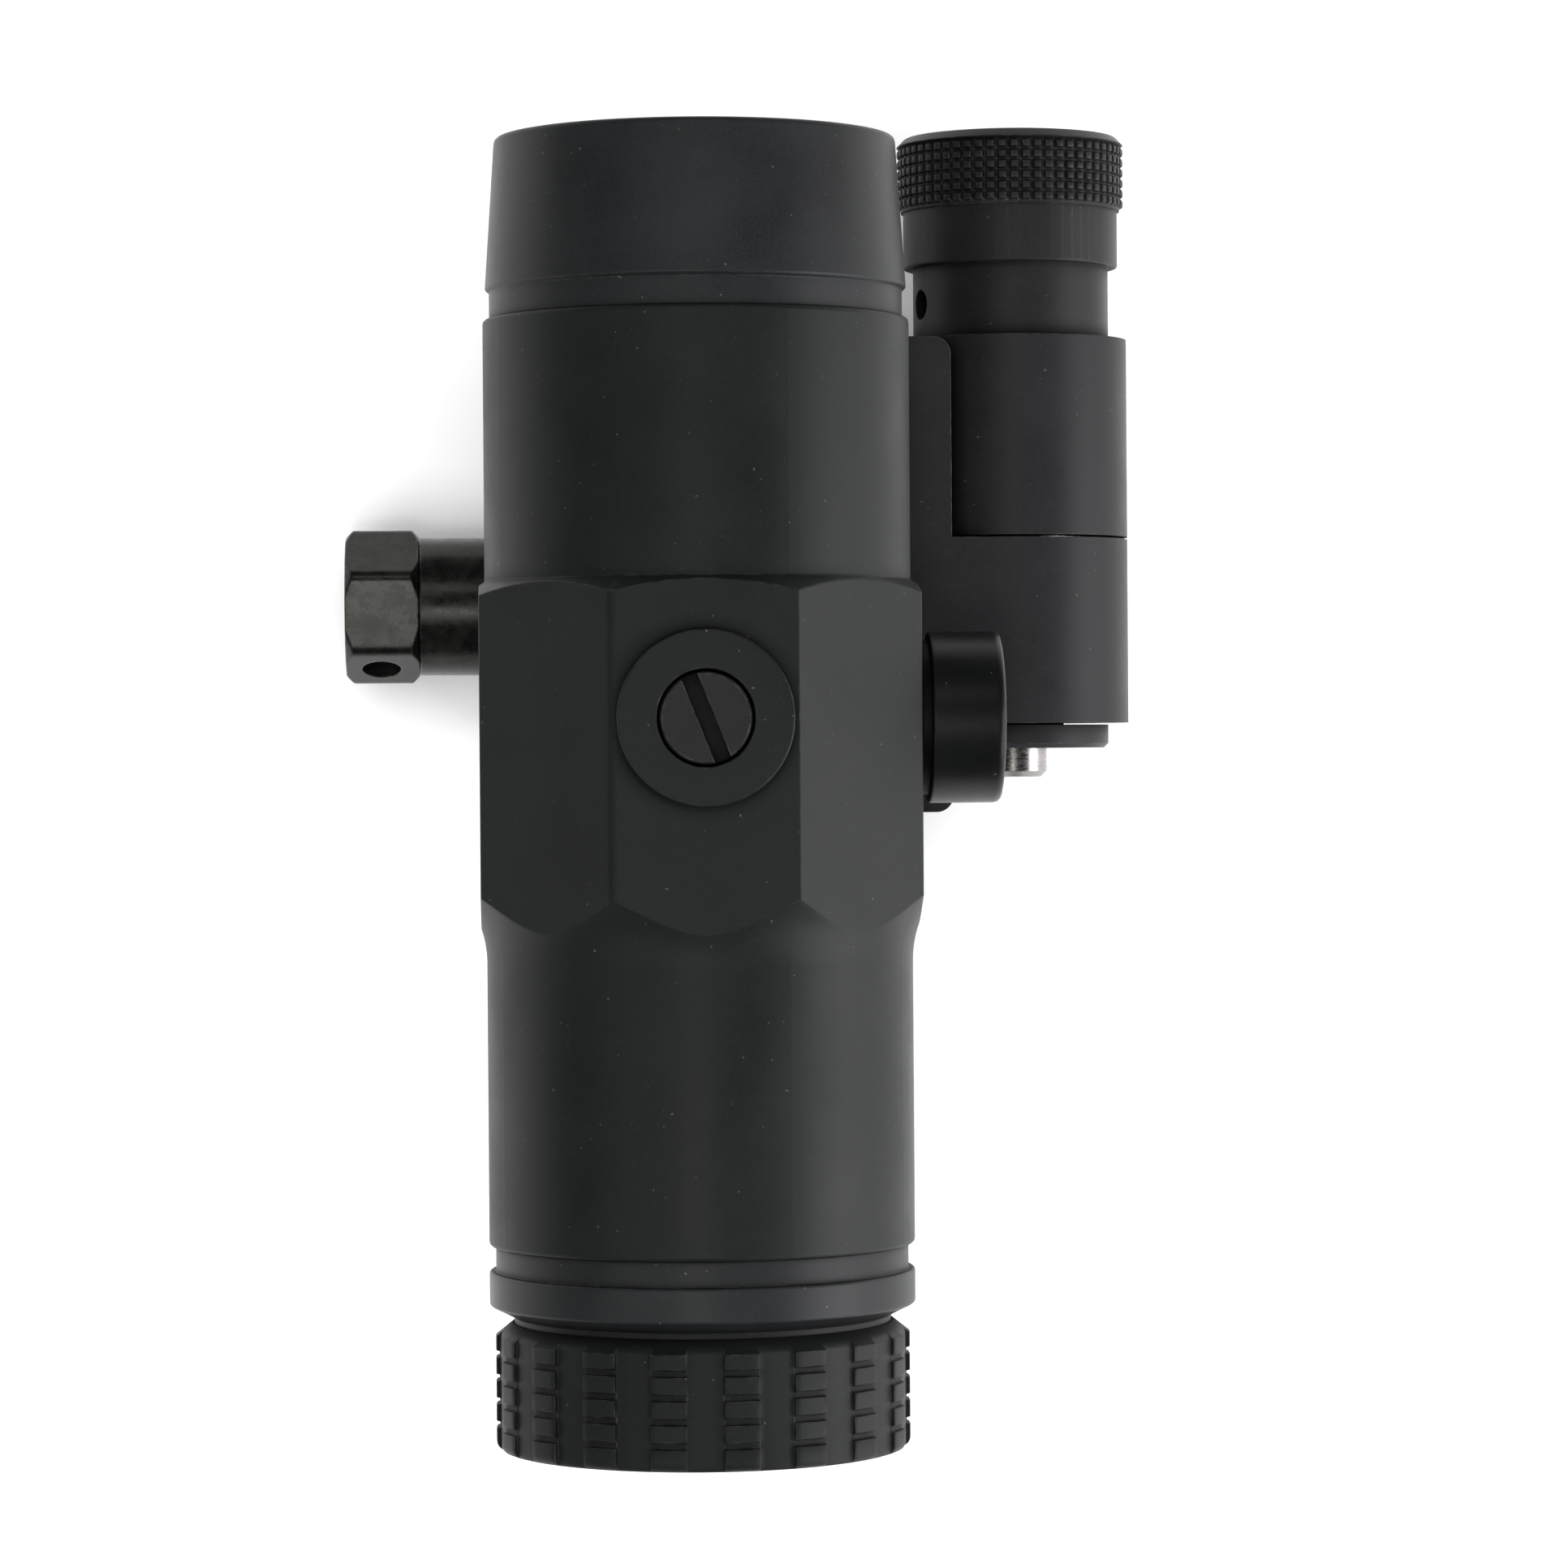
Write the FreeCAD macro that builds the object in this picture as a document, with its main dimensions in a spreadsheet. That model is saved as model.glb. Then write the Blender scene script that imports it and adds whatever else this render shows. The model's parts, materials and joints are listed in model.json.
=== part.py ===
import FreeCAD, Part
import math
import os
import Sketcher
from FreeCAD import Rotation, Vector

# A three-power magnifier on a flip-to-side rail mount. Millimetres, +Z up, +Y towards the
# objective. The origin is the middle of the rail seat at the clamp bolt's station.

SIZES = {
    # clearances and walls used throughout
    "run_gap": 0.06, "fit_gap": 0.03, "part_gap": 0.2, "edge_break": 0.4, "past": 2.0,
    "groove_ease": 0.25, "fine_ease": 0.15,
    # optical axis over the rail seat, tube and bell
    "axis_height": 39.0, "tube_r": 17.75, "tube_bore_r": 15.5,
    "bell_tip": 37.85, "bell_tip_r": 16.7, "bell_back": 25.3, "bell_back_r": 17.54,
    "bell_round": 0.5, "hood_step": 1.5, "hood_flare": 1.3,
    "tube_front": 22.75, "tube_back": -54.2, "groove_r": 17.2, "shank_front": 14.0,
    # eight-sided middle
    "facet_start": 1.0, "facet_full": -0.3, "facet_back": -30.7, "facet_apothem": 18.2,
    "facet_sweep_r": 9.0,
    # objective
    "hood_r": 14.0, "objective_clear_r": 12.6, "objective_seat": 23.6, "crown_front": 31.0,
    "crown_back": 25.5, "crown_front_curve": 48.0, "crown_back_curve": 44.0,
    "flint_rise": 2.1, "retainer_back": 29.35, "retainer_front": 32.2,
    "seal_wire_r": 0.55, "objective_seal_y": 19.0, "spanner_deep": 0.7, "spanner_half": 0.6,
    # rear collar and neck
    "collar_groove_back": -56.3, "collar_back": -59.1, "collar_tip": -60.1, "collar_front": -46.0,
    "neck_r": 15.7, "neck_back": -66.0, "neck_ease": 0.3,
    # focus ring: raised pads cut by four grooves, with smooth flutes between them
    "ring_front": -60.6, "ring_front_full": -61.7, "ring_back": -71.2, "ring_r": 17.3,
    "ring_round": 0.8, "ring_land": 0.1, "ring_lip": -69.7, "ring_lip_r": 13.6,
    "flute_depth": 0.4, "flute_angle": 10.1, "flute_count": 18, "flute_clock": 8.75,
    "pad_groove": 0.3, "pad_groove_width": 0.62, "pad_groove_first": -63.2,
    "pad_groove_pitch": 1.95,
    # eyepiece cell and lenses
    "cell_front": -50.0, "cell_r": 14.0, "cell_bore_r": 12.6, "cell_clear_r": 11.4,
    "cell_shoulder": 1.5,
    "cell_flange_front": -67.2, "cell_flange_back": -69.6, "cell_back": -70.6,
    "snap_front": -66.6, "snap_r": 16.0, "snap_bore_r": 14.6, "snap_gap": 0.05,
    "eye_curve": 32.0, "eye_edge_drop": 2.0, "eye_first_front": -51.6, "eye_first_back": -57.0,
    "eye_second_front": -60.0, "eye_second_back": -66.4, "eye_retainer_back": -68.8,
    "key_r": 0.8, "key_y": -58.0, "key_in": 0.6, "key_slot_front": 1.2, "key_slot_back": 3.4,
    "key_slot_deep": 0.9,
    # erector and gimbal
    "erector_front": -5.0, "erector_r": 8.0, "erector_bore_r": 7.0, "erector_clear_r": 6.2,
    "erector_seat": 7.2, "erector_lens": 3.2, "erector_curve": 24.0, "erector_ring": 1.6,
    "pivot_y": -44.0, "pivot_half": 2.0, "erector_collar_r": 9.2, "gimbal_bore_r": 10.0,
    "gimbal_r": 12.5, "carrier_bore_r": 13.2, "carrier_front": 1.0, "gimbal_pin_r": 0.8,
    "pin_inner_r": 10.6, "pin_outer_r": 14.9, "pin_deep_r": 8.2, "pin_rim_r": 11.9,
    "leaf_thick": 0.35, "leaf_width": 5.0, "leaf_tip_r": 8.9, "leaf_tip": -8.0,
    "leaf_bend": -13.0, "leaf_rise": 0.8, "leaf_root": -37.0, "leaf_angle": 135.0,
    # adjusters
    "turret_y": -10.5, "turret_r": 7.15, "turret_low": 1.0, "turret_tall": 7.0,
    "turret_neck": 0.9, "turret_neck_r": 6.4, "turret_shank_r": 5.6, "turret_shank_in": 13.2,
    "turret_chamfer": 0.6, "screw_r": 3.7, "screw_well_r": 3.95, "screw_head": 2.4,
    "screw_stem_r": 2.6, "screw_stem_in": 12.6, "slot_width": 1.35, "slot_depth": 1.1,
    "slot_angle": 21.7, "plunger_r": 1.6, "plunger_gap": 0.1, "plunger_length": 6.2,
    "plunger_room": 0.9, "adjuster_seal_wire_r": 0.45, "adjuster_seal_in": 1.0,
    "adjuster_seal_half": 0.5,
    # spacer, flip arm and its screws
    "spacer": 3.0, "spacer_half": 7.4, "spacer_front": -0.8, "spacer_back": -18.2,
    "arm_thick": 6.0, "arm_left": -9.0, "arm_right": 23.0, "arm_front": 22.96,
    "arm_back": -18.7, "arm_round": 1.5, "arm_screw_front": -4.5, "arm_screw_back": -14.5,
    "screw_hole_r": 1.6, "arm_screw_r": 1.47, "arm_screw_head_r": 3.0, "arm_screw_head": 1.6,
    "arm_screw_socket": 2.0, "arm_socket_top": 1.2,
    # hinge
    "hinge_x": 29.2, "hinge_z": 7.5, "barrel_r": 10.3, "relief_r": 10.6, "knuckle_back": -10.95,
    "knuckle_front": 5.4, "barrel_front": 23.2, "barrel_well": 16.5, "barrel_well_r": 8.8,
    "sleeve_r": 7.0, "sleeve_front": 14.9, "spring_well_r": 5.2, "spring_seat": -2.0,
    "cap_r": 8.5, "cap_gap": 0.15, "cap_back": -13.15, "cap_relief_r": 8.8, "cap_hub_r": 4.5,
    "cap_hub": -6.0,
    "rod_r": 2.95, "rod_back": -15.7, "rod_front": 33.0, "bush_back": 12.1, "lock_r": 5.1,
    "lock_back": 8.0, "lock_front": 12.0, "spring_mean_r": 4.1, "spring_wire_r": 0.45,
    "spring_turns": 5.5, "rod_tip": 0.5,
    # push button
    "knob_back": 21.2, "knob_neck_r": 8.7, "knob_band": 29.65, "knob_band_r": 9.55,
    "knob_head": 34.7, "knob_head_r": 10.1, "knob_ease": 0.2, "knob_front": 41.3, "knob_chamfer": 0.7,
    "knob_dish": 0.6, "knob_dish_r": 7.6, "knob_pin_y": 26.3, "knob_pin_r": 1.3,
    "knob_pin_top": 7.7, "knob_pin_end": -5.5, "knob_pin_angle": 18.0,
    # rail base, made for a rail 21.2 wide across its bevels and 15.67 across its top
    "base_left": -11.0, "base_right": 17.0, "base_front": 22.0, "base_back": -18.0,
    "base_top": 11.6, "base_round": 1.2, "seat_relief": 0.3, "lip_bottom": -7.0, "rail_top_half": 7.9,
    "rail_wide_half": 10.7, "rail_bevel": 2.8, "rail_land": 1.0, "stop_r": 2.0,
    "stop_height": 0.1, "stop_deep": 1.5, "stop_x": -5.0, "stop_front": 15.0, "stop_back": -12.0,
    # rail clamp
    "bolt_z": -0.4, "bolt_r": 2.4, "bolt_head_r": 4.2, "bolt_head_in": 14.0,
    "bolt_head_out": 16.8, "bolt_end": 29.6, "bolt_well_r": 4.5, "jaw_in": 11.1, "jaw_out": 17.4,
    "jaw_half": 12.0, "jaw_top": 9.0, "guide_r": 1.5, "guide_y": 8.0,
    "guide_z": 5.0, "guide_out": 16.9, "guide_in": 2.0, "washer_r": 6.2, "washer_out": 23.8,
    "nut_in": 23.9, "nut_out": 30.5, "nut_across": 12.3, "nut_clock": 7.0, "nut_chamfer_r": 6.25,
    "nut_chamfer": 0.9, "nut_hole_r": 1.75, "nut_hole_x": 27.3, "nut_hole_deep_r": 3.1,
    "nut_hole_angle": 67.0,
}

AXES = {
    # what turns a shape made about its own Y axis to another direction
    "X": Rotation(Vector(0, 0, 1), -90),
    "-X": Rotation(Vector(0, 0, 1), 90),
    "Y": Rotation(),
    "Z": Rotation(Vector(1, 0, 0), 90),
}
ROD_AXES = {
    # the same for a cylinder, cone or prism, which is made about its own Z axis
    "X": Rotation(Vector(0, 1, 0), 90),
    "Y": Rotation(Vector(1, 0, 0), -90),
    "Z": Rotation(),
}
HALF_FACET = math.radians(22.5)
LEAST_CUT = 1.0      # mm3, less than any real cut takes away

doc = FreeCAD.newDocument("flip_magnifier")
sheet = doc.addObject("Spreadsheet::Sheet", "Sizes")


class Size:
    """A sheet value, or sums and products of them, held as a number and as an expression."""

    def __init__(self, number, text):
        self.number = number
        self.text = text

    def joined(self, sign, other, work):
        other = as_size(other)
        return Size(work(self.number, other.number), "(%s %s %s)" % (self.text, sign, other.text))

    def __add__(self, other):
        return self.joined("+", other, lambda a, b: a + b)

    def __sub__(self, other):
        return self.joined("-", other, lambda a, b: a - b)

    def __mul__(self, other):
        return self.joined("*", other, lambda a, b: a * b)

    def __truediv__(self, other):
        return self.joined("/", other, lambda a, b: a / b)

    def __neg__(self):
        return Size(-self.number, "(0 - %s)" % self.text)


def as_size(value):
    """A plain number as a Size; a Size stays as it is."""
    return value if isinstance(value, Size) else Size(float(value), "(%r)" % float(value))


class Names:
    """The sheet's values by name, such as of.tube_r."""


of = Names()
for row, (alias, value) in enumerate(SIZES.items(), start=1):
    sheet.set("A%d" % row, alias)
    sheet.set("B%d" % row, str(value))
    sheet.setAlias("B%d" % row, alias)
    setattr(of, alias, Size(float(value), "Sizes." + alias))
doc.recompute()


def bind(obj, path, size):
    """Binds one property of an object to the sheet."""
    obj.setExpression(path, as_size(size).text)


def place(obj, at, turn):
    """Turns an object and binds its position to the sheet."""
    obj.Placement = FreeCAD.Placement(Vector(), turn)
    for letter, size in zip("xyz", at):
        if isinstance(size, Size) or size:
            bind(obj, "Placement.Base." + letter, size)


def outline(body, plane, points, name):
    """A closed sketch of straight lines on one of a body's planes, each corner bound to the sheet."""
    sketch = body.newObject("Sketcher::SketchObject", name + "_outline")
    origin = next(f for f in body.Origin.OriginFeatures if f.Role == plane + "_Plane")
    sketch.AttachmentSupport = [(origin, "")]
    sketch.MapMode = "FlatFace"
    points = [(as_size(a), as_size(b)) for a, b in points]
    corners = [Vector(a.number, b.number, 0) for a, b in points]
    count = len(corners)
    ends = [corners[(i + 1) % count] for i in range(count)]
    sketch.addGeometry([Part.LineSegment(a, b) for a, b in zip(corners, ends)], False)
    meet = [Sketcher.Constraint("Coincident", i, 2, (i + 1) % count, 1) for i in range(count)]
    sketch.addConstraint(meet)
    for i, (across, along) in enumerate(points):
        for kind, size in (("DistanceX", across), ("DistanceY", along)):
            index = sketch.addConstraint(Sketcher.Constraint(kind, -1, 1, i, 1, size.number))
            bind(sketch, "Constraints[%d]" % index, size)
    return sketch


def turned(name, points, at=(0, 0, 0), axis="Y", turn=None):
    """A body turned on a lathe: points are (radius, station) about its own Y axis."""
    body = doc.addObject("PartDesign::Body", name)
    sketch = outline(body, "XY", points, name)
    spin = body.newObject("PartDesign::Revolution", name + "_turning")
    spin.Profile = (sketch, [""])
    spin.ReferenceAxis = (sketch, ["V_Axis"])
    spin.Angle = 360
    body.Tip = spin
    place(body, at, (turn or Rotation()).multiply(AXES[axis]))
    return body


def tube(name, outer, inner, start, end, at=(0, 0, 0), axis="Y", turn=None):
    """A plain ring between two stations."""
    points = [(inner, start), (outer, start), (outer, end), (inner, end)]
    return turned(name, points, at, axis, turn)


def plate(name, plane, points, length, at=(0, 0, 0), both=False):
    """A body padded from an outline on one of its planes."""
    body = doc.addObject("PartDesign::Body", name)
    sketch = outline(body, plane, points, name)
    pad = body.newObject("PartDesign::Pad", name + "_pad")
    pad.Profile = (sketch, [""])
    bind(pad, "Length", length)
    pad.Midplane = both
    body.Tip = pad
    place(body, at, Rotation())
    return body


def rounded(body, size, chosen):
    """Fillets the edges of a body's last feature that the test chooses."""
    doc.recompute()
    last = body.Tip
    names = ["Edge%d" % (i + 1) for i, edge in enumerate(last.Shape.Edges) if chosen(edge)]
    if not names:
        raise RuntimeError("no edge to round on " + body.Label)
    fillet = body.newObject("PartDesign::Fillet", body.Name + "_round")
    fillet.Base = (last, names)
    bind(fillet, "Radius", size)
    body.Tip = fillet
    doc.recompute()
    return body


def upright(edge):
    """Whether an edge is a straight line along Z."""
    if not isinstance(edge.Curve, Part.Line):
        return False
    return abs(edge.Curve.Direction.z) > 0.99


def rim(radius, station):
    """A test for the circular edge of this radius at this station of a turned body."""

    def chosen(edge):
        if not isinstance(edge.Curve, Part.Circle):
            return False
        near = abs(edge.Curve.Radius - radius.number) < 0.01
        return near and abs(edge.Curve.Center.y - station.number) < 0.01

    return chosen


def block(name, left, right, back, front, low, high):
    """A box between its six faces."""
    box = doc.addObject("Part::Box", name)
    sides = (("Length", left, right), ("Width", back, front), ("Height", low, high))
    for side, start, end in sides:
        bind(box, side, as_size(end) - start)
    place(box, (left, back, low), Rotation())
    return box


def rod(name, radius, start, end, at=(0, 0, 0), axis="Y", turn=None):
    """A cylinder along an axis through a point, from one station to another."""
    bar = doc.addObject("Part::Cylinder", name)
    bind(bar, "Radius", radius)
    bind(bar, "Height", as_size(end) - start)
    way = (turn or Rotation()).multiply(ROD_AXES[axis])
    along = way.multVec(Vector(0, 0, 1))
    here = [as_size(a) + as_size(start) * round(b, 12) for a, b in zip(at, along)]
    place(bar, here, way)
    return bar


def ball(name, radius, station, at):
    """A sphere centred on an axis along Y."""
    sphere = doc.addObject("Part::Sphere", name)
    bind(sphere, "Radius", radius)
    place(sphere, (at[0], as_size(at[1]) + station, at[2]), Rotation())
    return sphere


def joined(name, *shapes):
    """One solid, or one group of separate solids, out of several shapes."""
    whole = doc.addObject("Part::MultiFuse", name)
    whole.Shapes = list(shapes)
    whole.Refine = True
    return whole


def common(name, *shapes):
    """What several shapes share."""
    shared = doc.addObject("Part::MultiCommon", name)
    shared.Shapes = list(shapes)
    shared.Refine = True
    return shared


def less(name, base, *tools):
    """A shape with tools cut out of it."""
    cut = doc.addObject("Part::Cut", name)
    cut.Base = base
    cut.Tool = tools[0] if len(tools) == 1 else joined(name + "_tools", *tools)
    cut.Refine = True
    return cut


OPTICAL = (0, 0, of.axis_height)
HINGE = (of.hinge_x, 0, of.hinge_z)
CLAMP = (0, 0, of.bolt_z)
TURRETS = {
    # direction of each adjuster, how far its housing stands over the flat, and its own axis
    "elevation": ("Z", of.turret_low, (0, of.turret_y, of.axis_height)),
    "windage": ("X", of.turret_tall, (0, of.turret_y, of.axis_height)),
}
ARM_TOP = of.axis_height - of.facet_apothem - of.spacer
ARM_UNDER = ARM_TOP - of.arm_thick


# ---- tube -------------------------------------------------------------------------------

def main_tube():
    corner_r = of.facet_apothem / math.cos(HALF_FACET)
    prism = doc.addObject("Part::Prism", "facet_prism")
    prism.Polygon = 8
    bind(prism, "Circumradius", corner_r)
    bind(prism, "Height", of.facet_start - of.facet_back)
    turn = ROD_AXES["Y"].multiply(Rotation(Vector(0, 0, 1), math.degrees(HALF_FACET)))
    place(prism, (0, of.facet_back, of.axis_height), turn)
    nose = turned("facet_nose", [
        (0, of.facet_back), (corner_r + of.past, of.facet_back),
        (corner_r + of.past, of.facet_full - of.past), (corner_r, of.facet_full),
        (of.tube_r, of.facet_start), (0, of.facet_start),
    ], OPTICAL)
    sweep = doc.addObject("Part::Torus", "facet_sweep")
    bind(sweep, "Radius1", of.tube_r + of.facet_sweep_r)
    bind(sweep, "Radius2", of.facet_sweep_r)
    place(sweep, (0, of.facet_back, of.axis_height), ROD_AXES["Y"])
    facets = less("facets", common("facet_stock", prism, nose), sweep)
    barrel = turned("tube_barrel", [
        (0, of.tube_back), (of.tube_r - of.edge_break, of.tube_back),
        (of.tube_r, of.tube_back + of.edge_break), (of.tube_r, of.tube_front - of.edge_break),
        (of.tube_r - of.edge_break, of.tube_front), (0, of.tube_front),
    ], OPTICAL)
    tools = [rod("tube_bore", of.tube_bore_r, of.tube_back - of.past,
                 of.tube_front + of.past, OPTICAL)]
    for name, (axis, _, at) in TURRETS.items():
        tools.append(rod("tube_hole_" + name, of.turret_shank_r + of.fit_gap,
                         of.turret_shank_in, of.facet_apothem + of.past, at, axis))
    for name, station in (("front", of.arm_screw_front), ("back", of.arm_screw_back)):
        tools.append(rod("tube_thread_" + name, of.arm_screw_r + of.fit_gap, ARM_TOP,
                         of.axis_height - of.tube_bore_r + of.past, (0, station, 0), "Z"))
    return less("main_tube", joined("tube_stock", barrel, facets), *tools)


def objective_bell():
    shank_r = of.tube_bore_r - of.fit_gap
    seal_floor = shank_r - of.seal_wire_r * 2
    groove_half = of.seal_wire_r + of.run_gap
    body = turned("objective_bell", [
        (of.hood_r, of.objective_seat), (of.hood_r, of.retainer_front + of.hood_step),
        (of.hood_r + of.hood_flare, of.bell_tip), (of.bell_tip_r, of.bell_tip),
        (of.bell_back_r, of.bell_back), (of.groove_r, of.bell_back - of.groove_ease),
        (of.groove_r, of.tube_front),
        (shank_r, of.tube_front), (shank_r, of.objective_seal_y + groove_half),
        (seal_floor, of.objective_seal_y + groove_half),
        (seal_floor, of.objective_seal_y - groove_half),
        (shank_r, of.objective_seal_y - groove_half), (shank_r, of.shank_front),
        (of.objective_clear_r, of.shank_front), (of.objective_clear_r, of.objective_seat),
    ], OPTICAL)
    return rounded(body, of.bell_round, rim(of.bell_tip_r, of.bell_tip))


def seal(name, radius, wire_r, at, axis):
    """A round-section sealing ring."""
    ring = doc.addObject("Part::Torus", name)
    bind(ring, "Radius1", radius)
    bind(ring, "Radius2", wire_r)
    place(ring, at, ROD_AXES[axis])
    return ring


def lens(name, radius, front, back, front_curve, back_curve, at=OPTICAL):
    """A round lens: domed where a curve is given, flat where it is None."""
    blank = rod(name + "_blank", radius, back, front, at)
    shapes = [blank]
    if front_curve is not None:
        shapes.append(ball(name + "_front", front_curve, as_size(front) - front_curve, at))
    if back_curve is not None:
        shapes.append(ball(name + "_back", back_curve, as_size(back) + back_curve, at))
    return common(name, *shapes)


def objective_glass():
    edge_r = of.hood_r - of.fit_gap
    crown = lens("objective_crown", edge_r, of.crown_front, of.crown_back,
                 of.crown_front_curve, of.crown_back_curve)
    flint_blank = rod("flint_blank", edge_r, of.objective_seat + of.fit_gap,
                      of.crown_back + of.flint_rise, OPTICAL)
    hollow = ball("flint_hollow", of.crown_back_curve,
                  of.crown_back + of.crown_back_curve - of.fit_gap, OPTICAL)
    flint = less("objective_flint", flint_blank, hollow)
    return [crown, flint]


def slotted_ring(name, outer, inner, start, end, at=OPTICAL):
    """A threaded retaining ring with two spanner slots in the face that is seen."""
    ring = tube(name + "_ring", outer, inner, start, end, at)
    seen = as_size(end)
    low, high = (seen - of.spanner_deep, seen + of.past)
    if seen.number < as_size(start).number:
        low, high = (seen - of.past, seen + of.spanner_deep)
    middle = as_size(at[2])
    slot = block(name + "_slots", -as_size(outer) - of.past, as_size(outer) + of.past, low, high,
                 middle - of.spanner_half, middle + of.spanner_half)
    return less(name, ring, slot)


def rear_collar():
    shank_r = of.tube_bore_r - of.fit_gap
    bore_r = of.cell_r + of.run_gap
    body = turned("collar_turned", [
        (bore_r, of.neck_back), (of.neck_r - of.neck_ease, of.neck_back),
        (of.neck_r, of.neck_back + of.neck_ease),
        (of.neck_r, of.collar_tip), (of.tube_r, of.collar_back),
        (of.tube_r, of.collar_groove_back - of.groove_ease),
        (of.tube_r - of.groove_ease, of.collar_groove_back), (of.groove_r, of.collar_groove_back),
        (of.groove_r, of.tube_back),
        (shank_r, of.tube_back), (shank_r, of.collar_front), (bore_r, of.collar_front),
    ], OPTICAL)
    key = rod("collar_key_hole", of.key_r + of.fit_gap, of.cell_r - of.past,
              of.tube_r + of.past, (0, of.key_y, of.axis_height), "Z",
              Rotation(Vector(1, 0, 0), 180))
    return less("rear_collar", body, key)


# ---- eyepiece ---------------------------------------------------------------------------

def focus_ring():
    """The focus ring: pads with four grooves each, and smooth flutes that run out at both ends."""
    bore_r = of.neck_r + of.run_gap
    snap_back = of.cell_flange_front + of.part_gap / 2
    points = [
        (bore_r, of.ring_front), (bore_r, of.snap_front), (of.snap_r + of.fit_gap, of.snap_front),
        (of.snap_r + of.fit_gap, snap_back), (bore_r, snap_back), (bore_r, of.ring_lip),
        (of.ring_lip_r, of.ring_lip), (of.ring_lip_r, of.ring_back), (of.ring_r, of.ring_back),
    ]
    half = of.pad_groove_width / 2
    deep_r = of.ring_r - of.pad_groove
    for step in (3, 2, 1, 0):
        middle = of.pad_groove_first - of.pad_groove_pitch * step
        points += [(of.ring_r, middle - half), (deep_r, middle - half)]
        points += [(deep_r, middle + half), (of.ring_r, middle + half)]
    points += [(of.ring_r, of.ring_front_full), (bore_r + of.ring_land, of.ring_front)]
    body = turned("focus_ring", points, OPTICAL,
                  turn=Rotation(Vector(0, 1, 0), SIZES["flute_clock"]))
    rounded(body, of.ring_round, rim(of.ring_r, of.ring_back))
    floor_r = of.ring_r - of.flute_depth
    air_r = of.ring_r + of.past
    front = of.ring_front + of.past
    back = of.ring_back - of.past
    path = outline(body, "XY", [(floor_r, front), (floor_r, back), (air_r, back), (air_r, front)],
                   "focus_flute")
    flute = body.newObject("PartDesign::Groove", "focus_flute")
    flute.Profile = (path, [""])
    flute.ReferenceAxis = (path, ["V_Axis"])
    bind(flute, "Angle", of.flute_angle)
    flute.Midplane = True
    body.Tip = flute
    doc.recompute()
    before = flute.BaseFeature.Shape.Volume
    if before - flute.Shape.Volume < LEAST_CUT:
        raise RuntimeError("the focus ring's flute cuts nothing")
    pattern = body.newObject("PartDesign::PolarPattern", "focus_flutes")
    pattern.Originals = [flute]
    pattern.Axis = (path, ["V_Axis"])
    pattern.Angle = 360
    bind(pattern, "Occurrences", of.flute_count)
    body.Tip = pattern
    return body


def eyepiece_cell():
    body = turned("cell_turned", [
        (of.cell_clear_r, of.cell_front), (of.cell_r, of.cell_front),
        (of.cell_r, of.cell_flange_front), (of.neck_r, of.cell_flange_front),
        (of.neck_r, of.cell_flange_back), (of.ring_lip_r - of.run_gap, of.cell_flange_back),
        (of.ring_lip_r - of.run_gap, of.cell_back), (of.cell_bore_r, of.cell_back),
        (of.cell_bore_r, of.cell_front - of.cell_shoulder),
        (of.cell_clear_r, of.cell_front - of.cell_shoulder),
    ], OPTICAL)
    slot = block("cell_key_slot", -of.key_r - of.run_gap, of.key_r + of.run_gap,
                 of.key_y - of.key_slot_front, of.key_y + of.key_slot_back,
                 of.axis_height - of.cell_r - of.past,
                 of.axis_height - of.cell_r + of.key_slot_deep)
    return less("eyepiece_cell", body, slot)


def eyepiece_pieces():
    edge_r = of.cell_bore_r - of.fit_gap
    first = lens("eyepiece_front_lens", edge_r, of.eye_first_front, of.eye_first_back,
                 None, of.eye_curve)
    second = lens("eyepiece_rear_lens", edge_r, of.eye_second_front, of.eye_second_back,
                  of.eye_curve, of.eye_curve)
    spacer = tube("eyepiece_spacer", edge_r, of.cell_clear_r, of.eye_first_back + of.eye_edge_drop,
                  of.eye_second_front - of.eye_edge_drop, OPTICAL)
    retainer = slotted_ring("eyepiece_retainer", edge_r, of.cell_clear_r,
                            of.eye_second_back + of.eye_edge_drop, of.eye_retainer_back)
    snap = tube("cell_snap_ring", of.snap_r, of.snap_bore_r, of.snap_front - of.snap_gap,
                of.cell_flange_front + of.part_gap / 2 + of.snap_gap, OPTICAL)
    key = rod("cell_key", of.key_r, of.cell_r - of.key_in, of.tube_r - of.part_gap * 2,
              (0, of.key_y, of.axis_height), "Z", Rotation(Vector(1, 0, 0), 180))
    return [first, second, spacer, retainer, snap, key]


# ---- erector ----------------------------------------------------------------------------

def erector_tube():
    front = of.erector_front
    seat_front = front - of.erector_seat
    back = of.pivot_y - of.pivot_half
    seat_back = back + of.erector_seat
    body = turned("erector_turned", [
        (of.erector_bore_r, front), (of.erector_r, front),
        (of.erector_r, of.pivot_y + of.pivot_half), (of.erector_collar_r, of.pivot_y + of.pivot_half),
        (of.erector_collar_r, back), (of.erector_bore_r, back), (of.erector_bore_r, seat_back),
        (of.erector_clear_r, seat_back), (of.erector_clear_r, seat_front),
        (of.erector_bore_r, seat_front),
    ], OPTICAL)
    holes = rod("erector_pin_holes", of.gimbal_pin_r + of.run_gap,
                -of.erector_collar_r - of.past, of.erector_collar_r + of.past,
                (0, of.pivot_y, of.axis_height), "Z")
    core = rod("erector_core", of.pin_deep_r - of.part_gap, back - of.past,
               of.pivot_y + of.pivot_half + of.past, OPTICAL)
    return less("erector_tube", body, less("erector_pin_ends", holes, core))


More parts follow.
